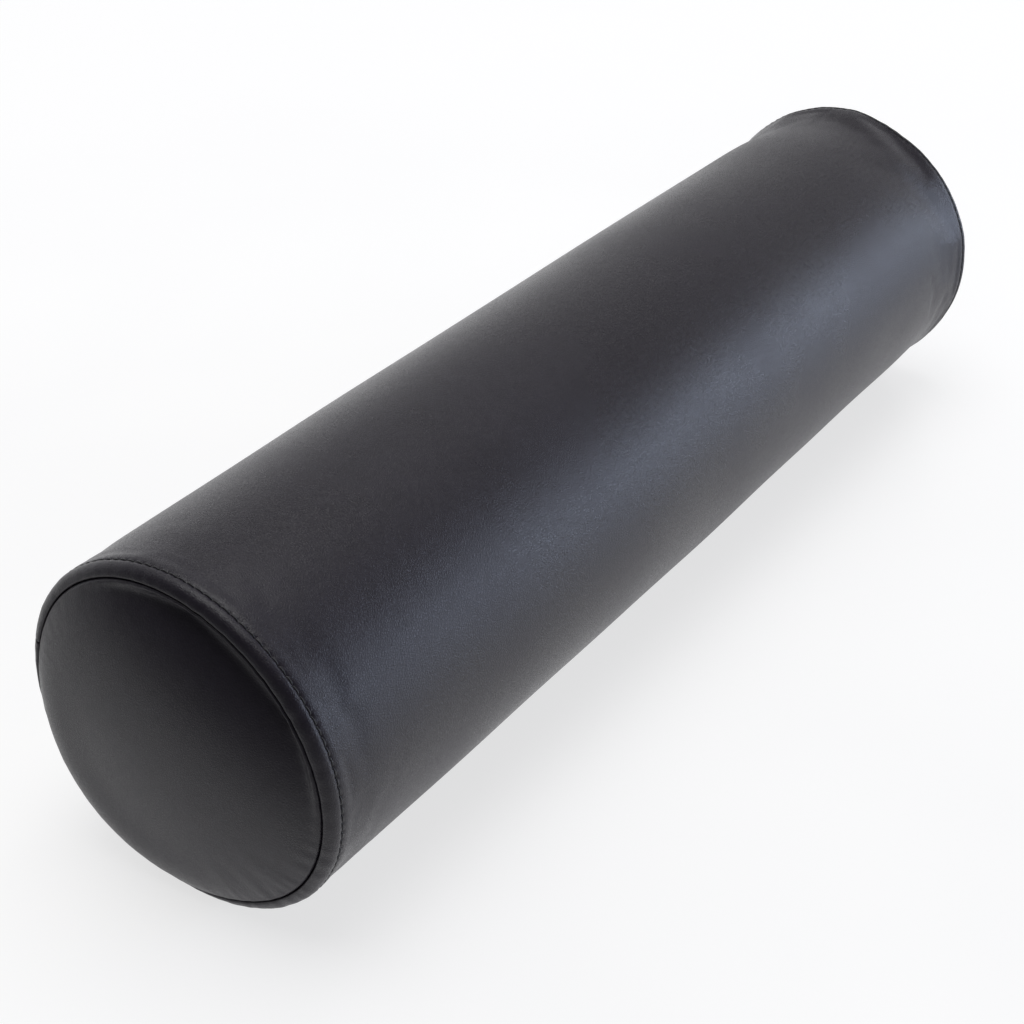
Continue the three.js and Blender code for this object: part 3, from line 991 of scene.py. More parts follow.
def facing_in(mesh: bpy.types.Mesh, axis: float) -> bool:
    """Whether most of a sheet's faces look towards the middle of the bolster.

    Args:
        mesh: The sheet.
        axis: The height of the bolster's axis in metres.

    Returns:
        True if its normals need turning round.
    """
    outwards = 0.0
    for face in mesh.polygons:
        away = Vector((face.center.x, face.center.y, face.center.z - axis))
        outwards += face.area * face.normal.dot(away)
    return outwards < 0


@dataclass
class DrapeTest:
    """Sheets of cloth with the cover's shape, let go under the pressure of the filling.

    Each sheet is held where it is sewn and grows a little, as eased cloth does, so that it puckers. Only
    the puckers and a share of the swelling are kept, as heights for the shape of the finished leather.
    """

    shape: CoverShape
    columns: int = 160
    frames: int = 20
    growth: float = 0.012
    pressure: float = 4.0
    kept_swelling: float = 0.1
    kept_puckers: float = 0.45
    cap: float = 1.1

    def sheet(self, name: str, distances: Array, points: Array, held: Array) -> Piece:
        """One sheet of cloth, ready to run.

        Args:
            name: The sheet's name.
            distances: Its rows.
            points: Its starting points, by row and column, in metres.
            held: How firmly each point is held, by row and column.

        Returns:
            The sheet with its Cloth modifier.
        """
        rows = [points[number] for number in range(len(distances))]
        flat, faces = loft(rows, closed=True)
        mesh = bpy.data.meshes.new(name)
        mesh.from_pydata(flat.tolist(), [], faces)
        mesh.update()
        if facing_in(mesh, self.shape.axis * MM):
            mesh.flip_normals()
        sheet = bpy.data.objects.new(name, mesh)
        bpy.context.scene.collection.objects.link(sheet)
        group = sheet.vertex_groups.new(name="held")
        for number, weight in enumerate(held.ravel().tolist()):
            if weight > 0:
                group.add([number], weight, "REPLACE")
        cloth = sheet.modifiers.new("Cloth", "CLOTH")
        rules = cloth.settings
        rules.quality = 5
        rules.mass = 0.3
        rules.tension_stiffness = rules.compression_stiffness = 12.0
        rules.shear_stiffness = 6.0
        rules.bending_stiffness = 0.35
        rules.tension_damping = rules.compression_damping = 6.0
        rules.vertex_group_mass = "held"
        rules.shrink_min = -self.growth
        rules.use_pressure = True
        rules.uniform_pressure_force = self.pressure
        rules.effector_weights.gravity = 0.0
        cloth.collision_settings.use_collision = False
        cloth.collision_settings.use_self_collision = False
        cloth.point_cache.frame_start = 1
        cloth.point_cache.frame_end = self.frames
        return sheet

    def band_start(self, end: End) -> tuple[Array, Array, Array, Array]:
        """The body's last stretch before an end, held at its topstitching, at the zip and where smooth."""
        shape = self.shape
        runs = np.linspace(shape.topstitch, 100.0, 30)
        angle = np.linspace(0, TURN, self.columns, endpoint=False)
        start, normal = [], []
        for run in runs:
            height = shape.body_swell(np.full_like(angle, run), angle, end)
            start.append(shape.place(run, height, angle, end))
            normal.append(shape.place(run, height + 1.0, angle, end) - start[-1])
        held = np.zeros((len(runs), self.columns))
        held[:1] = held[-2:] = 1.0
        return runs, np.array(start), np.array(normal), held

    def panel_start(self, end: End) -> tuple[Array, Array, Array, Array]:
        """An end panel from its seam to near its centre, held at the seam."""
        shape = self.shape
        inward = np.concatenate([np.linspace(0, 20, 13), np.linspace(22.5, 66, 19)])
        angle = np.linspace(0, TURN, self.columns, endpoint=False)
        start, normal = [], []
        for distance in inward:
            run = np.full_like(angle, -distance)
            height = shape.panel_swell(run, angle, end)
            start.append(shape.place(run, height, angle, end))
            normal.append(shape.place(run, height + 1.0, angle, end) - start[-1])
        held = np.zeros((len(inward), self.columns))
        held[:2] = 1.0
        held[-1] = 1.0
        return inward, np.array(start), np.array(normal), held

    def puckers(self, heights: Array, spacing: float) -> Array:
        """Keeps the short waves of a sheet's movement and a share of the long ones.

        Args:
            heights: Movement in millimetres, by row and column.
            spacing: Millimetres between rows.

        Returns:
            What the finished leather takes, capped.
        """
        smooth = heights.copy()
        reach = max(2, round(9.0 / spacing))
        for _ in range(3):
            padded = np.pad(smooth, ((reach, reach), (0, 0)), mode="edge")
            smooth = np.mean([padded[k : k + len(heights)] for k in range(2 * reach + 1)], axis=0)
            smooth = np.mean([np.roll(smooth, k, axis=1) for k in range(-3, 4)], axis=0)
        kept = self.kept_puckers * (heights - smooth) + self.kept_swelling * smooth
        return np.clip(kept, -self.cap, self.cap)

    def run(self) -> dict[str, Draped]:
        """Runs every sheet together and reads off what it did.

        Returns:
            Heights for each end panel and for the body beside it, by name.
        """
        starts = {f"panel_{end.label}": self.panel_start(end) for end in End}
        starts.update({f"body_{end.label}": self.band_start(end) for end in End})
        sheets = {
            name: self.sheet(f"cloth_{name}", part[0], part[1], part[3])
            for name, part in starts.items()
        }
        scene = bpy.context.scene
        for number in range(1, self.frames + 1):
            scene.frame_set(number)
        kept = {}
        for name, (distances, start, normal, _) in starts.items():
            sheet = sheets[name]
            shown = sheet.evaluated_get(bpy.context.evaluated_depsgraph_get())
            flat = np.empty(len(shown.data.vertices) * 3)
            shown.data.vertices.foreach_get("co", flat)
            moved = flat.reshape(start.shape) - start
            length = np.linalg.norm(normal, axis=-1)
            shortest = 0.6 * MM
            heights = (moved * normal).sum(-1) / np.maximum(length, shortest) ** 2
            heights = np.where(length > shortest, heights, 0.0)
            taken = self.puckers(heights, float(np.mean(np.abs(np.diff(distances)))))
            moves = np.abs(heights).max(), np.abs(taken).max()
            log.info("cloth %s: moved %.2f mm at most, %.2f kept", name, *moves)
            kept[name] = Draped(distances, taken)
            mesh = sheet.data
            bpy.data.objects.remove(sheet)
            bpy.data.meshes.remove(mesh)
        scene.frame_set(1)
        return kept


# --------------------------------------------------------------------------- stitches and coils


class Unit(Enum):
    """The small shapes that are repeated."""

    THREAD = "a stitch"
    TOOTH = "one turn of a zip coil"


class Repeats:
    """Geometry Nodes that set one small sewn or moulded shape at many places.

    The places are the points of a carrier mesh. Each has the attributes along and out, which say how the
    shape lies, and span, how long it is.
    """

    def __init__(
        self, name: str, unit: Unit, sizes: dict[str, float], material: bpy.types.Material
    ) -> None:
        """Builds the tree.

        Args:
            name: The tree's name.
            unit: The shape that is repeated.
            sizes: Named inputs and their values in metres.
            material: The finish.
        """
        self.tree = Tree(bpy.data.node_groups.new(name, "GeometryNodeTree"))
        self.values = {**sizes, "Seed": 7}
        face = self.tree.tree.interface
        face.new_socket("Places", in_out="INPUT", socket_type="NodeSocketGeometry")
        self.names = {}
        for label in sizes:
            self.names[label] = face.new_socket(label, in_out="INPUT", socket_type=FLOAT).identifier
        self.names["Seed"] = face.new_socket("Seed", in_out="INPUT", socket_type="NodeSocketInt").identifier
        finish = face.new_socket("Finish", in_out="INPUT", socket_type="NodeSocketMaterial")
        self.names["Finish"] = finish.identifier
        face.new_socket("Geometry", in_out="OUTPUT", socket_type="NodeSocketGeometry")
        self.material = material
        inside, outside = self.tree.add("NodeGroupInput"), self.tree.add("NodeGroupOutput")
        shape = self.thread(inside) if unit is Unit.THREAD else self.tooth(inside)
        self.spread_out(inside, outside, shape)

    def named(self, label: str, kind: str) -> Socket:
        """Reads one of the carrier mesh's attributes."""
        node = self.tree.add("GeometryNodeInputNamedAttribute", data_type=kind)
        node.inputs["Name"].default_value = label
        return node.outputs["Attribute"]

    def thread(self, inside: Node) -> Socket:
        """A stitch of unit length that dives into its needle holes, with a lay attribute along it."""
        tree = self.tree
        line = tree.add("GeometryNodeCurvePrimitiveBezierSegment", mode="POSITION")
        line.inputs["Resolution"].default_value = 8
        holes, rise = (0.5, -1.0), (0.42, 0.45)
        for label, side, (reach, lift) in (
            ("Start", -1, holes),
            ("Start Handle", -1, rise),
            ("End Handle", 1, rise),
            ("End", 1, holes),
        ):
            point = tree.add("ShaderNodeCombineXYZ")
            point.inputs["X"].default_value = side * reach
            tree.join(tree.product(inside.outputs["Dive"], lift), point.inputs["Z"])
            tree.join(point.outputs[0], line.inputs[label])
        where = tree.add("GeometryNodeSplineParameter")
        noted = tree.add("GeometryNodeStoreNamedAttribute", data_type="FLOAT", domain="POINT")
        noted.inputs["Name"].default_value = "lay"
        tree.join(line.outputs[0], noted.inputs["Geometry"])
        tree.join(where.outputs["Factor"], noted.inputs["Value"])
        return self.tube(inside, noted.outputs["Geometry"], 6)

    def tube(self, inside: Node, curve: Socket, sides: int) -> Socket:
        """A closed tube, as thick as the input Width says, along a curve."""
        tree = self.tree
        ring = tree.add("GeometryNodeCurvePrimitiveCircle", mode="RADIUS")
        ring.inputs["Resolution"].default_value = sides
        tree.join(tree.product(inside.outputs["Width"], 0.5), ring.inputs["Radius"])
        tube = tree.add("GeometryNodeCurveToMesh")
        tube.inputs["Fill Caps"].default_value = True
        tree.join(curve, tube.inputs["Curve"])
        tree.join(ring.outputs["Curve"], tube.inputs["Profile Curve"])
        return tube.outputs["Mesh"]

    def tooth(self, inside: Node) -> Socket:
        """One turn of a zip coil: a wire that leaves the tape, swells into a head and comes back."""
        tree = self.tree
        sweep = tree.add("GeometryNodeCurvePrimitiveLine", mode="POINTS")
        fine = tree.add("GeometryNodeResampleCurve", mode="COUNT")
        fine.inputs["Count"].default_value = 13
        tree.join(sweep.outputs["Curve"], fine.inputs["Curve"])
        part = tree.add("GeometryNodeSplineParameter").outputs["Factor"]
        angle = tree.product(part, TURN * 0.94)
        half_reach = tree.product(inside.outputs["Reach"], -0.5)
        half_height = tree.product(inside.outputs["Height"], 0.5)
        across = tree.product(tree.maths("COSINE", angle), half_reach)
        height = tree.product(tree.maths("SINE", angle), half_height)
        along = tree.product(tree.maths("SUBTRACT", part, 0.5), inside.outputs["Lead"])
        spot = tree.add("ShaderNodeCombineXYZ")
        for label, source in (("X", along), ("Y", across), ("Z", height)):
            tree.join(source, spot.inputs[label])
        bent = tree.add("GeometryNodeSetPosition")
        tree.join(fine.outputs["Curve"], bent.inputs["Geometry"])
        tree.join(spot.outputs[0], bent.inputs["Position"])
        return self.tube(inside, bent.outputs["Geometry"], 5)

    def spread_out(self, inside: Node, outside: Node, shape: Socket) -> None:
        """Sets the shape at every place, turned and stretched to lie as the place says.

        Args:
            inside: The tree's input node.
            outside: The tree's output node.
            shape: The repeated shape.
        """
        tree = self.tree
        lie = tree.add("FunctionNodeAlignRotationToVector", axis="X")
        tree.join(self.named("along", "FLOAT_VECTOR"), lie.inputs["Vector"])
        stand = tree.add("FunctionNodeAlignRotationToVector", axis="Z", pivot_axis="X")
        tree.join(lie.outputs["Rotation"], stand.inputs["Rotation"])
        tree.join(self.named("out", "FLOAT_VECTOR"), stand.inputs["Vector"])
        wobble = tree.add("FunctionNodeRandomValue", data_type="FLOAT")
        wobble.inputs[2].default_value, wobble.inputs[3].default_value = 0.96, 1.03
        tree.join(inside.outputs["Seed"], wobble.inputs["Seed"])
        size = tree.add("ShaderNodeCombineXYZ")
        tree.join(tree.product(self.named("span", "FLOAT"), wobble.outputs[1]), size.inputs["X"])
        size.inputs["Y"].default_value = 1.0
        size.inputs["Z"].default_value = 1.0
        copies = tree.add("GeometryNodeInstanceOnPoints")
        tree.join(inside.outputs["Places"], copies.inputs["Points"])
        tree.join(shape, copies.inputs["Instance"])
        tree.join(stand.outputs["Rotation"], copies.inputs["Rotation"])
        tree.join(size.outputs[0], copies.inputs["Scale"])
        real = tree.add("GeometryNodeRealizeInstances")
        tree.join(copies.outputs["Instances"], real.inputs["Geometry"])
        smooth = tree.add("GeometryNodeSetShadeSmooth")
        tree.join(real.outputs["Geometry"], smooth.inputs["Geometry"])
        dressed = tree.add("GeometryNodeSetMaterial")
        tree.join(smooth.outputs["Geometry"], dressed.inputs["Geometry"])
        tree.join(inside.outputs["Finish"], dressed.inputs["Material"])
        tree.join(dressed.outputs["Geometry"], outside.inputs["Geometry"])

    def make(self, name: str, places: Array, along: Array, out: Array, span: Array) -> Piece:
        """Makes one plain mesh of all the copies.

        Args:
            name: The piece's name.
            places: Where each copy's middle is, in metres.
            along: Which way each copy runs.
            out: Which way each copy's top looks.
            span: How long each copy is made, as a factor on its length.

        Returns:
            The finished piece, without modifiers.
        """
        mesh = bpy.data.meshes.new(f"{name}_places")
        mesh.from_pydata(places.tolist(), [], [])
        for label, kind, part, values in (
            ("along", "FLOAT_VECTOR", "vector", along),
            ("out", "FLOAT_VECTOR", "vector", out),
            ("span", "FLOAT", "value", span),
        ):
            attribute = mesh.attributes.new(label, kind, "POINT")
            attribute.data.foreach_set(part, np.ascontiguousarray(values, np.float32).ravel())
        carrier = bpy.data.objects.new(f"{name}_places", mesh)
        bpy.context.scene.collection.objects.link(carrier)
        nodes = carrier.modifiers.new("Repeats", "NODES")
        nodes.node_group = self.tree.tree
        for label, value in self.values.items():
            nodes[self.names[label]] = value
        nodes[self.names["Finish"]] = self.material
        bpy.context.view_layer.update()
        graph = bpy.context.evaluated_depsgraph_get()
        shown = carrier.evaluated_get(graph)
        made = bpy.data.meshes.new_from_object(shown, preserve_all_data_layers=True, depsgraph=graph)
        made.name = name
        carrier.modifiers.remove(nodes)
        bpy.data.objects.remove(carrier)
        if not made.materials:
            made.materials.append(self.material)
        piece = bpy.data.objects.new(name, made)
        bpy.context.scene.collection.objects.link(piece)
        return piece


def sew(repeats: Repeats, name: str, holes: Array, out: Array, closed: bool) -> Piece:
    """Lays a stitch from each needle hole to the next.

    Args:
        repeats: The stitch maker, whose shape is of unit length.
        name: The piece's name.
        holes: Needle holes in metres, in order.
        out: Which way the leather faces at each hole.
        closed: Whether the last stitch comes back to the first hole.

    Returns:
        The sewn row as one piece.
    """
    holes = np.concatenate([holes[:, :2], np.maximum(holes[:, 2:], 0.5 * MM)], axis=1)
    following = np.roll(holes, -1, axis=0)
    facing = out + np.roll(out, -1, axis=0)
    if not closed:
        holes, following, facing = holes[:-1], following[:-1], facing[:-1]
    along = following - holes
    span = np.linalg.norm(along, axis=1)
    return repeats.make(name, (holes + following) / 2, along / span[:, None], facing, span * 0.86)


# --------------------------------------------------------------------------- sub-assemblies


@dataclass
class Cover:
    """The sewn cover: a wrapped body panel, two round end panels, and the thread that holds them."""

    shape: CoverShape
    palette: Palette
    columns: int = 448
    inner_columns: int = 112
    zip_half: float = 5.0
    zip_run: float = 250.0
    seam_gap: float = 0.12
    fold: float = 0.8
    fold_lean: float = 0.28
    fold_back: float = 0.24
    thread_width: float = 0.7
    seam_stitches: int = 128

    # How the leather turns in at a seam: distance from the seam and height.
    TURN_IN = ((0.16, -3.0), (0.13, -2.0), (0.13, -1.2), (0.22, -0.62), (0.5, -0.26), (0.9, -0.07))

    def body_runs(self) -> Array:
        """Distances from the seam of the body's rows, close together at stitching and at the zip's ends."""
        near = [1.35, 1.95, 2.7, 3.6, 4.5, 5.4, 6.2, 6.9, 7.5, 8.0, 8.4, 8.75, 9.05]
        near += [9.3, 9.55, 9.85, 10.2, 10.6]
        near += [11.1, 11.8, 12.7, 13.8, 15.0, 16.5, 18.2, 20.2, 22.6, 25.4, 28.6, 32.2, 36.2, 40.4, 44.0]
        slot_end = self.shape.run_at(self.shape.seam - self.zip_run)
        near += [slot_end + step for step in (-1.8, -0.9, -0.4, 0.0, 0.4, 0.9, 1.8)]
        far = np.linspace(slot_end + 7, self.shape.middle_run, 42)
        return np.array([*near, *far])

    def build_body(self) -> Piece:
        """The body panel: one sheet wrapped round, its long edges folded under beside the zip."""
        rows: list[Array] = []
        for end in End:
            half = []
            half += [self.section(run, lift, True, end) for run, lift in self.TURN_IN]
            half += [self.section(run, 0.0, False, end) for run in self.body_runs()]
            rows += half if end is End.FRONT else half[-2::-1]
        points, faces = loft(rows, closed=True)
        count = len(rows[0])
        faces += self.cap(0, count) + [tuple(reversed(f)) for f in self.cap(len(points) - count, count)]
        piece = make_piece("leather_body", points, faces, self.palette.leather)
        return place(piece, "bolster", "cover_leather", "cover_body_panel")

    def section(self, run: float, lift: float, turned: bool, end: End) -> Array:
        """One row of the body panel: outside from edge to edge, round the fold, and back inside.

        Args:
            run: Distance from the end seam.
            lift: Height above the plain outline where the leather turns in.
            turned: Whether the row is in the turned-in edge.
            end: Which end it is measured from.

        Returns:
            The row's points, the last joining up with the first.
        """
        shape = self.shape
        along = shape.seam - shape.depth_at(run)
        opening = np.clip((self.zip_run + 0.9 - along) / 1.8, 0, 1)
        opening = opening * opening * (3 - 2 * opening)
        edge = self.seam_gap + (self.zip_half - self.seam_gap) * opening
        radius = shape.body_radius
        thick = shape.leather + (0.5 * opening) + (0.6 if along > shape.seam - 13 else 0.0)
        turn = np.linspace(0, 1, self.columns + 1)
        start = (edge + self.fold) / radius
        angle = shape.zip_angle + start + turn * (TURN - 2 * start)
        height = shape.body_height(np.full_like(angle, run), angle, turn, end) + lift
        if turned:
            swell = shape.body_swell(np.full_like(angle, run), angle, end)
            height = lift + swell * np.clip(1 + lift, 0, 1)
        outside = shape.place(np.full_like(angle, run), height, angle, end)
        back = np.linspace(1, 0, self.inner_columns + 1)
        inner_angle = shape.zip_angle + start + back * (TURN - 2 * start)
        if turned:
            inner_run, inner_height = 1.5 + 0.08 * lift, min(lift, -thick) * np.ones_like(inner_angle)
        else:
            inner_run = max(run, 1.55)
            inner_runs, unstitched = np.full_like(inner_angle, inner_run), np.zeros_like(inner_angle)
            inner_height = shape.body_height(inner_runs, inner_angle, unstitched, end) - thick
        inside = shape.place(np.full_like(inner_angle, inner_run), inner_height, inner_angle, end)
        folds = []
        edges = ((1, height[-1], inner_height[0]), (-1, height[0], inner_height[-1]))
        for side, outer_lift, inner_lift in edges:
            middle = (outer_lift + inner_lift) / 2
            ups = [one + (middle - one) * self.fold_lean for one in (outer_lift, middle, inner_lift)]
            steps = []
            for gap, up, low in zip((self.fold_back, 0.0, self.fold_back), ups, (run, run, inner_run)):
                whole = TURN if side > 0 else 0.0
                bend = shape.zip_angle + whole - side * (edge + gap * self.fold) / radius
                steps.append(shape.place(np.array([low]), np.array([up]), np.array([bend]), end))
            folds.append(np.concatenate(steps if side > 0 else steps[::-1]))
        return np.concatenate([outside, folds[0], inside, folds[1]])

    def cap(self, first: int, count: int) -> Faces:
        """Faces that close an end row between its outside and its inside.

        Args:
            first: Number of the row's first point.
            count: How many points the row has.

        Returns:
            The closing faces.
        """
        ratio = self.columns // self.inner_columns
        inner = first + self.columns + 1 + 3
        faces = []
        for j in range(self.inner_columns):
            outer = [first + j * ratio + k for k in range(ratio + 1)]
            one = inner + self.inner_columns - j
            faces.append((*reversed(outer), one, one - 1))
        last = first + count
        faces.append((first, *range(last - 1, last - 4, -1), inner + self.inner_columns))
        faces.append((*range(first + self.columns, inner), inner))
        return [tuple(reversed(f)) for f in faces]

    def build_end(self, end: End) -> Piece:
        """A round end panel: its dished face, its turned-in rim, and its lining side."""
        shape = self.shape
        angle = shape.zip_angle + np.linspace(0, TURN, self.columns, endpoint=False)
        rows = []
        for run, lift in self.TURN_IN:
            swell = shape.panel_height(np.full_like(angle, -run), angle, end)
            rows.append(shape.place(-run, lift + swell * np.clip(1 + lift, 0, 1), angle, end))
        near_seam = np.array([1.3, 1.9, 2.6, 3.4, 4.3, 5.3, 6.4, 7.6])
        inward = np.concatenate([near_seam, np.linspace(9, -shape.centre_run - 1.5, 36)])
        for distance in inward:
            left = shape.seam_radius - distance
            step = 1 if left > 42 else 2 if left > 20 else 4 if left > 9 else 8
            rows.append(self.face_row(-distance, angle[::step], end))
        lining = rows[len(self.TURN_IN) :][::-2]
        inset = np.array([-end.value * shape.leather * MM, 0, 0])
        backs = [row + inset for row in lining]
        backs += [shape.place(-2.2, -1.4, angle, end), shape.place(-2.2, -2.2, angle, end)]
        backs.append(shape.place(-1.3, -3.0, angle, end))
        points_front, faces = loft(rows, closed=True)
        points_back, more = loft(backs, closed=True)
        first = len(points_front)
        faces += [tuple(number + first for number in face) for face in more]
        size = len(rows[-1])
        last, tip = first - size, first + len(points_back)
        faces += [(last + j, last + (j + 1) % size, tip) for j in range(size)]
        faces += [(first + (j + 1) % size, first + j, tip + 1) for j in range(size)]
        rim = tip - self.columns
        after = [(j + 1) % self.columns for j in range(self.columns)]
        faces += [(j, after[j], rim + after[j], rim + j) for j in range(self.columns)]
        centre = self.face_row(shape.centre_run, np.array([0.0]), end)
        points = np.concatenate([points_front, points_back, centre, centre + inset])
        piece = make_piece(f"leather_end_{end.label}", points, faces, self.palette.leather)
        return place(piece, "bolster", "cover_leather", f"end_panel_{end.label}")

    def face_row(self, run: float, angle: Array, end: End) -> Array:
        """A row of an end panel's face."""
        runs = np.full_like(angle, run)
        return self.shape.place(runs, self.shape.panel_height(runs, angle, end), angle, end)

    def build_stitching(self, end: End) -> list[Piece]:
        """The topstitching that shows and the closing seam that doesn't, at one end."""
        shape = self.shape
        count = shape.stitches_round
        sizes = {"Width": self.thread_width * MM, "Dive": 0.7 * MM}
        stitches = Repeats(f"Topstitch {end.label}", Unit.THREAD, sizes, self.palette.thread)
        start = (self.seam_gap + self.fold) / shape.body_radius
        turn = (np.arange(count) + 0.5) / count
        angle = shape.zip_angle + start + turn * (TURN - 2 * start)
        run = np.full(count, shape.topstitch)
        flat = shape.body_swell(run, angle, end) - 0.24
        holes = shape.place(run, flat + 0.10, angle, end)
        out = shape.place(run, flat + 5.0, angle, end) - holes
        top = sew(stitches, f"topstitching_{end.label}", holes, out, closed=True)
        place(top, "bolster", "thread", f"topstitch_{end.label}")
        angle = np.linspace(0, TURN, self.seam_stitches, endpoint=False)
        sizes = {"Width": 0.55 * MM, "Dive": 0.2 * MM}
        seam = Repeats(f"Seam {end.label}", Unit.THREAD, sizes, self.palette.thread)
        holes = shape.place(np.full_like(angle, 0.0), np.full_like(angle, -4.2), angle, end)
        out = shape.at(end.value * (shape.seam - 4.2), 200.0, angle) - holes
        hidden = sew(seam, f"closing_seam_{end.label}", holes, out, closed=True)
        place(hidden, "bolster", "thread", f"seam_thread_{end.label}")
        return [top, hidden]


@dataclass
class Filling:
    """What is inside: a cut foam cylinder, a wadding roll round it, and a wadding pad on each end."""

    shape: CoverShape
    palette: Palette
    foam_radius: float = 75.0
    foam_half: float = 290.0
    roll_inner: float = 75.3
    roll_outer: float = 77.6
    roll_half: float = 282.6
    roll_gap: float = 16.0
    roll_tip: float = 0.013
    pad_radius: float = 70.7
    foam_columns: int = 144
    roll_columns: int = 180
    pad_columns: int = 160

    def build_foam(self) -> Piece:
        """The foam cylinder, with softly worn corners and the faint waves of a hot-wire cut."""
        angle = np.linspace(0, TURN, self.foam_columns, endpoint=False)
        outline = [(out, 0.0) for out in (2.0, 24.0, 48.0, 66.0)]
        outline += [(70.2, 0.15), (72.6, 0.9), (74.2, 2.3), (75.0, 4.4)]
        half = [(out, self.foam_half - depth) for out, depth in outline]
        middle = [(self.foam_radius, along) for along in np.linspace(278, -278, 60)]
        profile = half + middle + [(out, -along) for out, along in reversed(half)]
        rows = []
        for out, along in profile:
            cut = 0.12 * rolling(np.full_like(angle, along), angle, (30.0, 90.0), 3) - 0.12
            rows.append(self.shape.at(along, out + cut * min(1, out / 60), angle, floor=3.0))
        points, faces = loft(rows, closed=True)
        faces += end_faces(len(points), self.foam_columns)
        piece = make_piece("foam_cylinder", points, faces, self.palette.foam)
        place(piece, "bolster", "foam", "foam_core")
        return piece

    def build_roll(self) -> Piece:
        """The wadding rolled round the foam, open beside the zip, following the leather."""
        shape = self.shape
        rows = []
        gap = self.roll_gap / self.roll_outer
        angle = shape.zip_angle + gap + np.linspace(0, 1, self.roll_columns + 1) * (TURN - 2 * gap)
        for along in np.linspace(-self.roll_half, self.roll_half, 96):
            end = End.REAR if along > 0 else End.FRONT
            run = np.full_like(angle, shape.run_at(shape.seam - abs(along)))
            soft = np.minimum(shape.body_swell(run, angle, end), 1.2)
            soft = soft + 0.10 * rolling(along, angle, (12.0, 40.0), 9) - 0.15
            fade = np.clip((self.roll_half - abs(along)) / 6, 0, 1)
            inner = np.full_like(angle, self.roll_inner) + 0.5 * (1 - fade) ** 2
            outer = np.maximum(self.roll_outer + soft - 0.9 * (1 - fade) ** 2, inner + 0.4)
            middle = (outer + inner) / 2
            outside = shape.at(along, outer, angle, floor=1.2)
            inside = shape.at(along, inner, angle, floor=2.6)[::-1]
            tips = [
                shape.at(along, middle[one], angle[one] + lean, floor=1.9)
                for one, lean in ((slice(-1, None), self.roll_tip), (slice(0, 1), -self.roll_tip))
            ]
            rows.append(np.concatenate([outside, tips[0], inside, tips[1]]))
        points, faces = loft(rows, closed=True)
        count = len(rows[0])
        for first in (0, len(points) - count):
            top, back = first + self.roll_columns, first + 2 * self.roll_columns + 2
            faces += [self.strip(first, j) for j in range(self.roll_columns)]
            faces += [(top, top + 1, top + 2), (first, back, back + 1)]
        piece = make_piece("wadding_roll", points, faces, self.palette.wadding)
        place(piece, "bolster", "wadding", "wadding_wrap")
        return piece

    def strip(self, first: int, j: int) -> tuple[int, int, int, int]:
        """One closing face between the outside and the inside of the roll's end."""
        back = first + 2 * self.roll_columns + 2
        return first + j, first + j + 1, back - 1 - j, back - j

    def build_pad(self, end: End) -> Piece:
        """The wadding pad between the foam and an end panel, puffed out to the leather."""
        shape = self.shape
        angle = np.linspace(0, TURN, self.pad_columns, endpoint=False)
        rows = []
        for part in (0.03, 0.2, 0.38, 0.54, 0.68, 0.8, 0.89, 0.95, 0.985, 1.0):
            out = self.pad_radius * part
            run = np.full_like(angle, out - shape.seam_radius)
            face = -shape.crown * (1 - (out / shape.seam_radius) ** 2) - shape.panel_swell(run, angle, end)
            depth = face + shape.leather + 0.4 + 0.06 * ripple(angle, 5, 20, 61)
            depth = np.maximum(depth, depth + (5.5 - depth) * (1 - math.sqrt(max(0.0, 1 - part**10))))
            rows.append(shape.at(end.value * (shape.seam - depth), out, angle, floor=5.0))
        for part in (0.985, 0.9, 0.5, 0.03):
            rows.append(shape.at(end.value * (shape.seam - 5.95), self.pad_radius * part, angle, floor=5.0))
        points, faces = loft(rows, closed=True)
        faces += end_faces(len(points), self.pad_columns)
        piece = make_piece(f"wadding_pad_{end.label}", points, faces, self.palette.wadding)
        place(piece, "bolster", "wadding", f"wadding_end_{end.label}")
        return piece


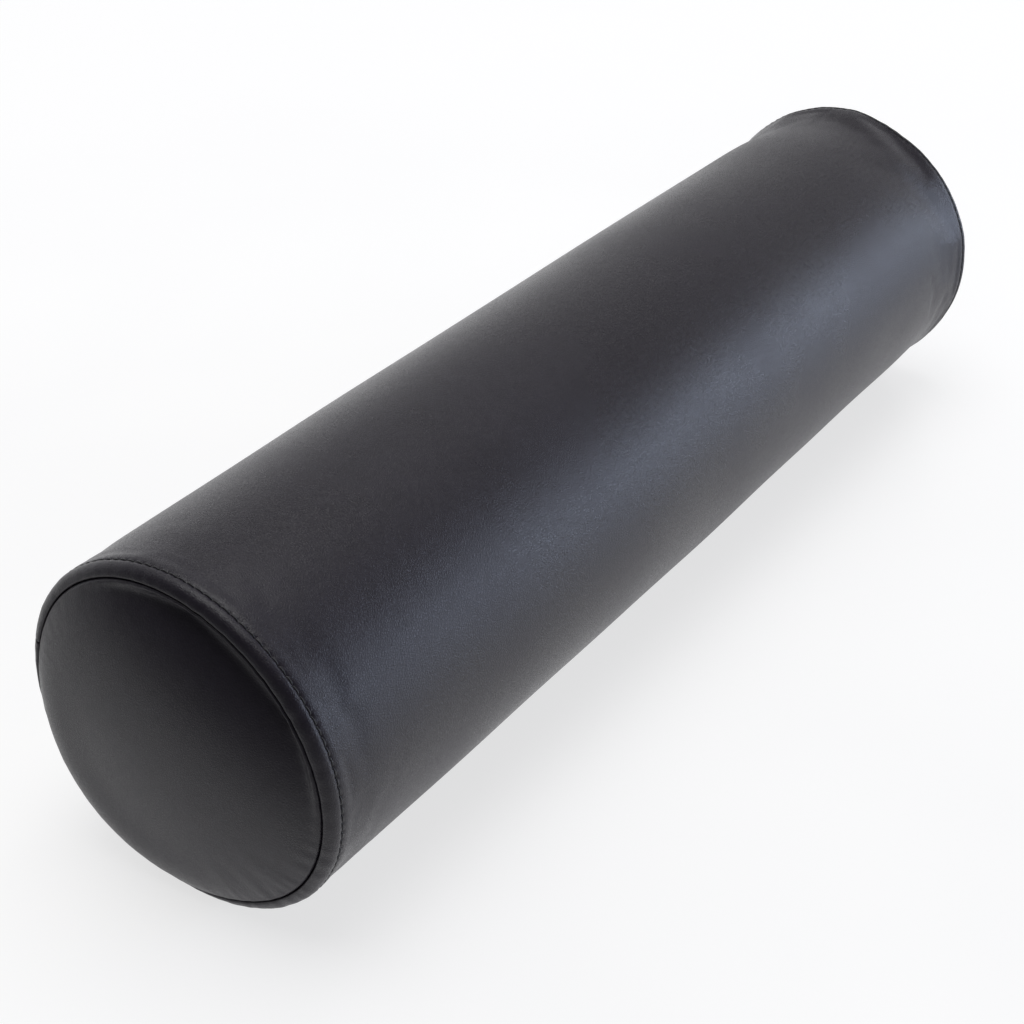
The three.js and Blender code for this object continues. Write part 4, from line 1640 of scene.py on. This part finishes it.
@dataclass
class Zip:
    """The zip on the far side: two woven tapes, two nylon coils, stops, slider, and a pull tab."""

    shape: CoverShape
    palette: Palette
    tape_half: float = 258.0
    tape_inner: float = 0.62
    tape_outer: float = 15.0
    tape_radius: float = 76.6
    tape_thick: float = 0.5
    coil_half: float = 246.0
    coil_pitch: float = 1.3
    coil_inner: float = 0.58
    coil_outer: float = 2.98
    coil_low: float = 77.4
    coil_high: float = 79.2
    stitch_line: float = 7.0
    stitch_half: float = 250.0
    stitch_pitch: float = 3.2
    tack: float = 252.3
    tack_half: float = 7.7

    def frame_at(self, along: Array, across: Array, out: Array) -> Array:
        """Points beside the zip.

        Args:
            along: Distances along the bolster.
            across: Distances from the zip's middle, positive downwards.
            out: Distances from the axis.

        Returns:
            Points in metres.
        """
        angle = self.shape.zip_angle - across / out
        return self.shape.at(along, out, angle)

    def build_tapes(self) -> list[Piece]:
        """The two woven tapes, with a corded inner edge under the coil."""
        made = []
        for name, side in (("upper", -1), ("lower", 1)):
            corded = [self.tape_inner, 0.8, 1.2, 1.7, 2.1, 2.8, 4.2]
            across = np.array([*corded, 6.0, 8.0, 10.0, 12.0, 13.6, 14.5, 14.9, self.tape_outer])
            cord = 0.22 * bell(across - 1.6, 0.55)
            ridge = 0.08 * bell(across - 13.9, 0.35)
            rows = []
            for along in np.linspace(-self.tape_half, self.tape_half, 130):
                wave = 0.05 * math.sin(along / 9.0)
                high = self.tape_radius + self.tape_thick + cord + ridge + wave
                low = np.full_like(across, self.tape_radius)
                high[0], high[-1] = high[0] - 0.18, high[-1] - 0.15
                top = self.frame_at(along, side * across, high)
                under = self.frame_at(along, side * across, low)[::-1]
                rows.append(np.concatenate([top, under]))
            points, faces = loft(rows, closed=True)
            count = len(rows[0])
            for first in (0, len(points) - count):
                last = first + count - 1
                faces += [
                    (first + j, first + j + 1, last - 1 - j, last - j) for j in range(len(across) - 1)
                ]
            piece = make_piece(f"woven_tape_{name}", points, faces, self.palette.tape)
            made.append(place(piece, "bolster", "zip_tape", f"zip_tape_{name}"))
        return made

    def build_coils(self) -> list[Piece]:
        """The two coils, each a wire wound in leaning turns."""
        made = []
        sizes = {"Width": 0.62 * MM, "Reach": 1.74 * MM, "Height": 1.12 * MM, "Lead": self.coil_pitch * MM}
        turns = Repeats("Zip coil", Unit.TOOTH, sizes, self.palette.nylon)
        for name, side in (("upper", -1), ("lower", 1)):
            along = np.arange(-self.coil_half + 1, self.coil_half - 0.6, self.coil_pitch)
            along = along + (self.coil_pitch / 2 if side > 0 else 0.0)
            middle = np.full_like(along, side * (self.coil_inner + self.coil_outer) / 2)
            height = np.full_like(along, (self.coil_low + self.coil_high) / 2)
            places = self.frame_at(along, middle, height)
            out = self.frame_at(along, middle, height + 5) - places
            direction = np.tile([float(side), 0.0, 0.0], (len(along), 1))
            piece = turns.make(f"nylon_coil_{name}", places, direction, out, np.ones(len(along)))
            made.append(place(piece, "bolster", "zip_coil", f"zip_coil_{name}"))
        return made

    def surface(self, along: Array, across: Array, lift: float) -> Array:
        """Points just above the leather beside the zip."""
        angle = self.shape.zip_angle - across / self.shape.body_radius
        points = np.empty((len(along), 3))
        for end in End:
            chosen = (along > 0) == (end is End.REAR)
            if not chosen.any():
                continue
            run = np.array([self.shape.run_at(self.shape.seam - abs(x)) for x in along[chosen]])
            points[chosen] = self.shape.outer(run, angle[chosen], end, lift)
        return points

    def build_stitching(self) -> list[Piece]:
        """The rows of stitching along the zip and the bar tacks at its ends."""
        made = []
        thread = {"Width": 0.7 * MM, "Dive": 0.5 * MM}
        stitches = Repeats("Zip stitch", Unit.THREAD, thread, self.palette.thread)
        for name, side in (("upper", -1), ("lower", 1)):
            count = round(2 * self.stitch_half / self.stitch_pitch) + 1
            along = np.linspace(-self.stitch_half, self.stitch_half, count)
            across = np.full_like(along, side * self.stitch_line)
            holes = self.surface(along, across, 0.05)
            out = self.surface(along, across, 5.0) - holes
            piece = sew(stitches, f"zip_sewing_{name}", holes, out, closed=False)
            made.append(place(piece, "bolster", "thread", f"zip_stitch_{name}"))
        sizes = {"Width": 0.5 * MM, "Dive": 0.35 * MM}
        satin = Repeats("Bar tack", Unit.THREAD, sizes, self.palette.thread)
        for end in End:
            across = np.arange(-self.tack_half, self.tack_half + 0.01, 0.42)
            along = np.full_like(across, end.value * self.tack)
            middle = self.surface(along, across, 0.12)
            out = self.surface(along, across, 5.0) - middle
            lean = np.where(np.arange(len(across)) % 2 == 0, 1.0, -1.0) * 0.12
            direction = np.stack([np.ones_like(across), lean * 0.3, lean], axis=-1)
            span = np.full(len(across), 1.7 * MM)
            piece = satin.make(f"bar_tacking_{end.label}", middle, direction, out, span)
            made.append(place(piece, "bolster", "thread", f"zip_bar_tack_{end.label}"))
        return made

    def soften(self, node: str, name: str, body: str, edge: float) -> Piece:
        """A cast or pressed metal part: the CAD solid with its edges rounded.

        Args:
            node: The CAD node.
            name: The new piece's name.
            body: The body it rides on.
            edge: How far its edges are rounded, in millimetres.

        Returns:
            The rounded part.
        """
        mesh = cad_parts[node].data.copy()
        mesh.name = name
        work = bmesh.new()
        work.from_mesh(mesh)
        bmesh.ops.remove_doubles(work, verts=work.verts, dist=1e-6)
        bmesh.ops.dissolve_limit(work, angle_limit=math.radians(4), verts=work.verts, edges=work.edges)
        work.to_mesh(mesh)
        work.free()
        mesh.materials.clear()
        mesh.materials.append(self.palette.metal)
        mesh.shade_smooth()
        piece = bpy.data.objects.new(name, mesh)
        bpy.context.scene.collection.objects.link(piece)
        rounding = piece.modifiers.new("Rounded edges", "BEVEL")
        rounding.width = edge * MM
        rounding.segments = 3
        rounding.limit_method = "ANGLE"
        rounding.angle_limit = math.radians(35)
        rounding.harden_normals = True
        return place(piece, body, "zip_metal", node)

    def build_metal(self) -> list[Piece]:
        """The stops, the slider and the pull tab."""
        return [
            self.soften("zip_top_stop_upper", "top_stop_upper", "bolster", 0.3),
            self.soften("zip_top_stop_lower", "top_stop_lower", "bolster", 0.3),
            self.soften("zip_bottom_stop", "bottom_stop", "bolster", 0.3),
            self.soften("zip_slider", "slider_body", "slider", 0.22),
            self.soften("zip_pull_tab", "tab_plate", "pull_tab", 0.25),
        ]


@dataclass
class Studio:
    """A pale sweep, a soft cool window low on the right, and a large lamp overhead."""

    palette: Palette
    centre: Triple = (-0.0811, -0.0127, 0.0781)
    look: Triple = (0.6971, 0.4768, -0.5354)
    distance: float = 0.869
    lens: float = 65.2

    def build_floor(self) -> Piece:
        """The pale floor."""
        bpy.ops.mesh.primitive_plane_add(size=14.0, location=(0, 0, 0))
        floor = bpy.context.object
        floor.name = "studio_floor"
        floor.data.materials.append(self.palette.floor)
        return floor

    def lamp(
        self, name: str, place_at: Triple, aim: Triple, size: Range, power: float, colour: Triple
    ) -> Piece:
        """A soft rectangular lamp.

        Args:
            name: The lamp's name.
            place_at: Where it is.
            aim: What it points at.
            size: Width and height.
            power: Watts.
            colour: Linear colour.

        Returns:
            The lamp.
        """
        data = bpy.data.lights.new(name, "AREA")
        data.shape = "RECTANGLE"
        data.size, data.size_y = size
        data.energy = power
        data.color = colour
        lamp = bpy.data.objects.new(name, data)
        towards = (Vector(aim) - Vector(place_at)).to_track_quat("-Z", "Y")
        lamp.matrix_world = Matrix.Translation(place_at) @ towards.to_matrix().to_4x4()
        bpy.context.scene.collection.objects.link(lamp)
        return lamp

    def build_sky(self) -> None:
        """The room: light behind the bolster, darker overhead and in front, and even to the camera."""
        world = bpy.data.worlds.new("Studio room")
        world.use_nodes = True
        bpy.context.scene.world = world
        tree = Tree(world.node_tree)
        background = world.node_tree.nodes["Background"]
        where = tree.add("ShaderNodeTexCoord").outputs["Generated"]
        height = tree.split(where).outputs["Z"]
        wall = tree.spread(tree.facing(where, (0.87, 0.48, 0.05)), -0.35, 0.5)
        shade = tree.product(wall, tree.spread(height, 0.05, 0.68, (1.0, 0.42)))
        room = tree.tint(shade, (0.08, 0.08, 0.085), (0.86, 0.86, 0.88))
        seen = tree.add("ShaderNodeLightPath").outputs["Is Camera Ray"]
        tree.join(tree.tint(seen, room, (0.93, 0.93, 0.93)), background.inputs["Color"])

    def build_camera(self) -> Piece:
        """The camera above the front right of the bolster."""
        data = bpy.data.cameras.new("Studio camera")
        data.lens = self.lens
        data.sensor_width = 36.0
        data.clip_start = 0.02
        camera = bpy.data.objects.new("Studio camera", data)
        look = Vector(self.look).normalized()
        spot = Vector(self.centre) - look * self.distance
        camera.matrix_world = Matrix.Translation(spot) @ look.to_track_quat("-Z", "Y").to_matrix().to_4x4()
        bpy.context.scene.collection.objects.link(camera)
        bpy.context.scene.camera = camera
        return camera

    def build(self) -> None:
        """Sets up the whole studio."""
        self.build_floor()
        self.lamp("Overhead lamp", (-0.1, 0.1, 2.7), (0.0, 0.0, 0.0), (1.9, 1.9), 38.0, (1.0, 1.0, 1.0))
        self.lamp("Low window", (1.8, -1.85, 0.40), (0.0, 0.0, 0.1), (2.3, 0.44), 24.0, (0.66, 0.77, 1.0))
        self.build_sky()
        self.build_camera()
        bpy.context.scene.view_settings.view_transform = "Standard"


def main() -> None:
    """Builds the bolster piece by piece, then the studio."""
    logging.basicConfig(level=logging.INFO, format="%(name)s: %(message)s")
    palette = Palette()
    shape = CoverShape()
    shape.waves = DrapeTest(shape).run()
    cover = Cover(shape, palette)
    cover.build_body()
    for end in End:
        cover.build_end(end)
        cover.build_stitching(end)
    filling = Filling(shape, palette)
    filling.build_foam()
    filling.build_roll()
    for end in End:
        filling.build_pad(end)
    closure = Zip(shape, palette)
    closure.build_tapes()
    closure.build_coils()
    closure.build_stitching()
    closure.build_metal()
    Studio(palette).build()


if __name__ == "__main__":
    main()
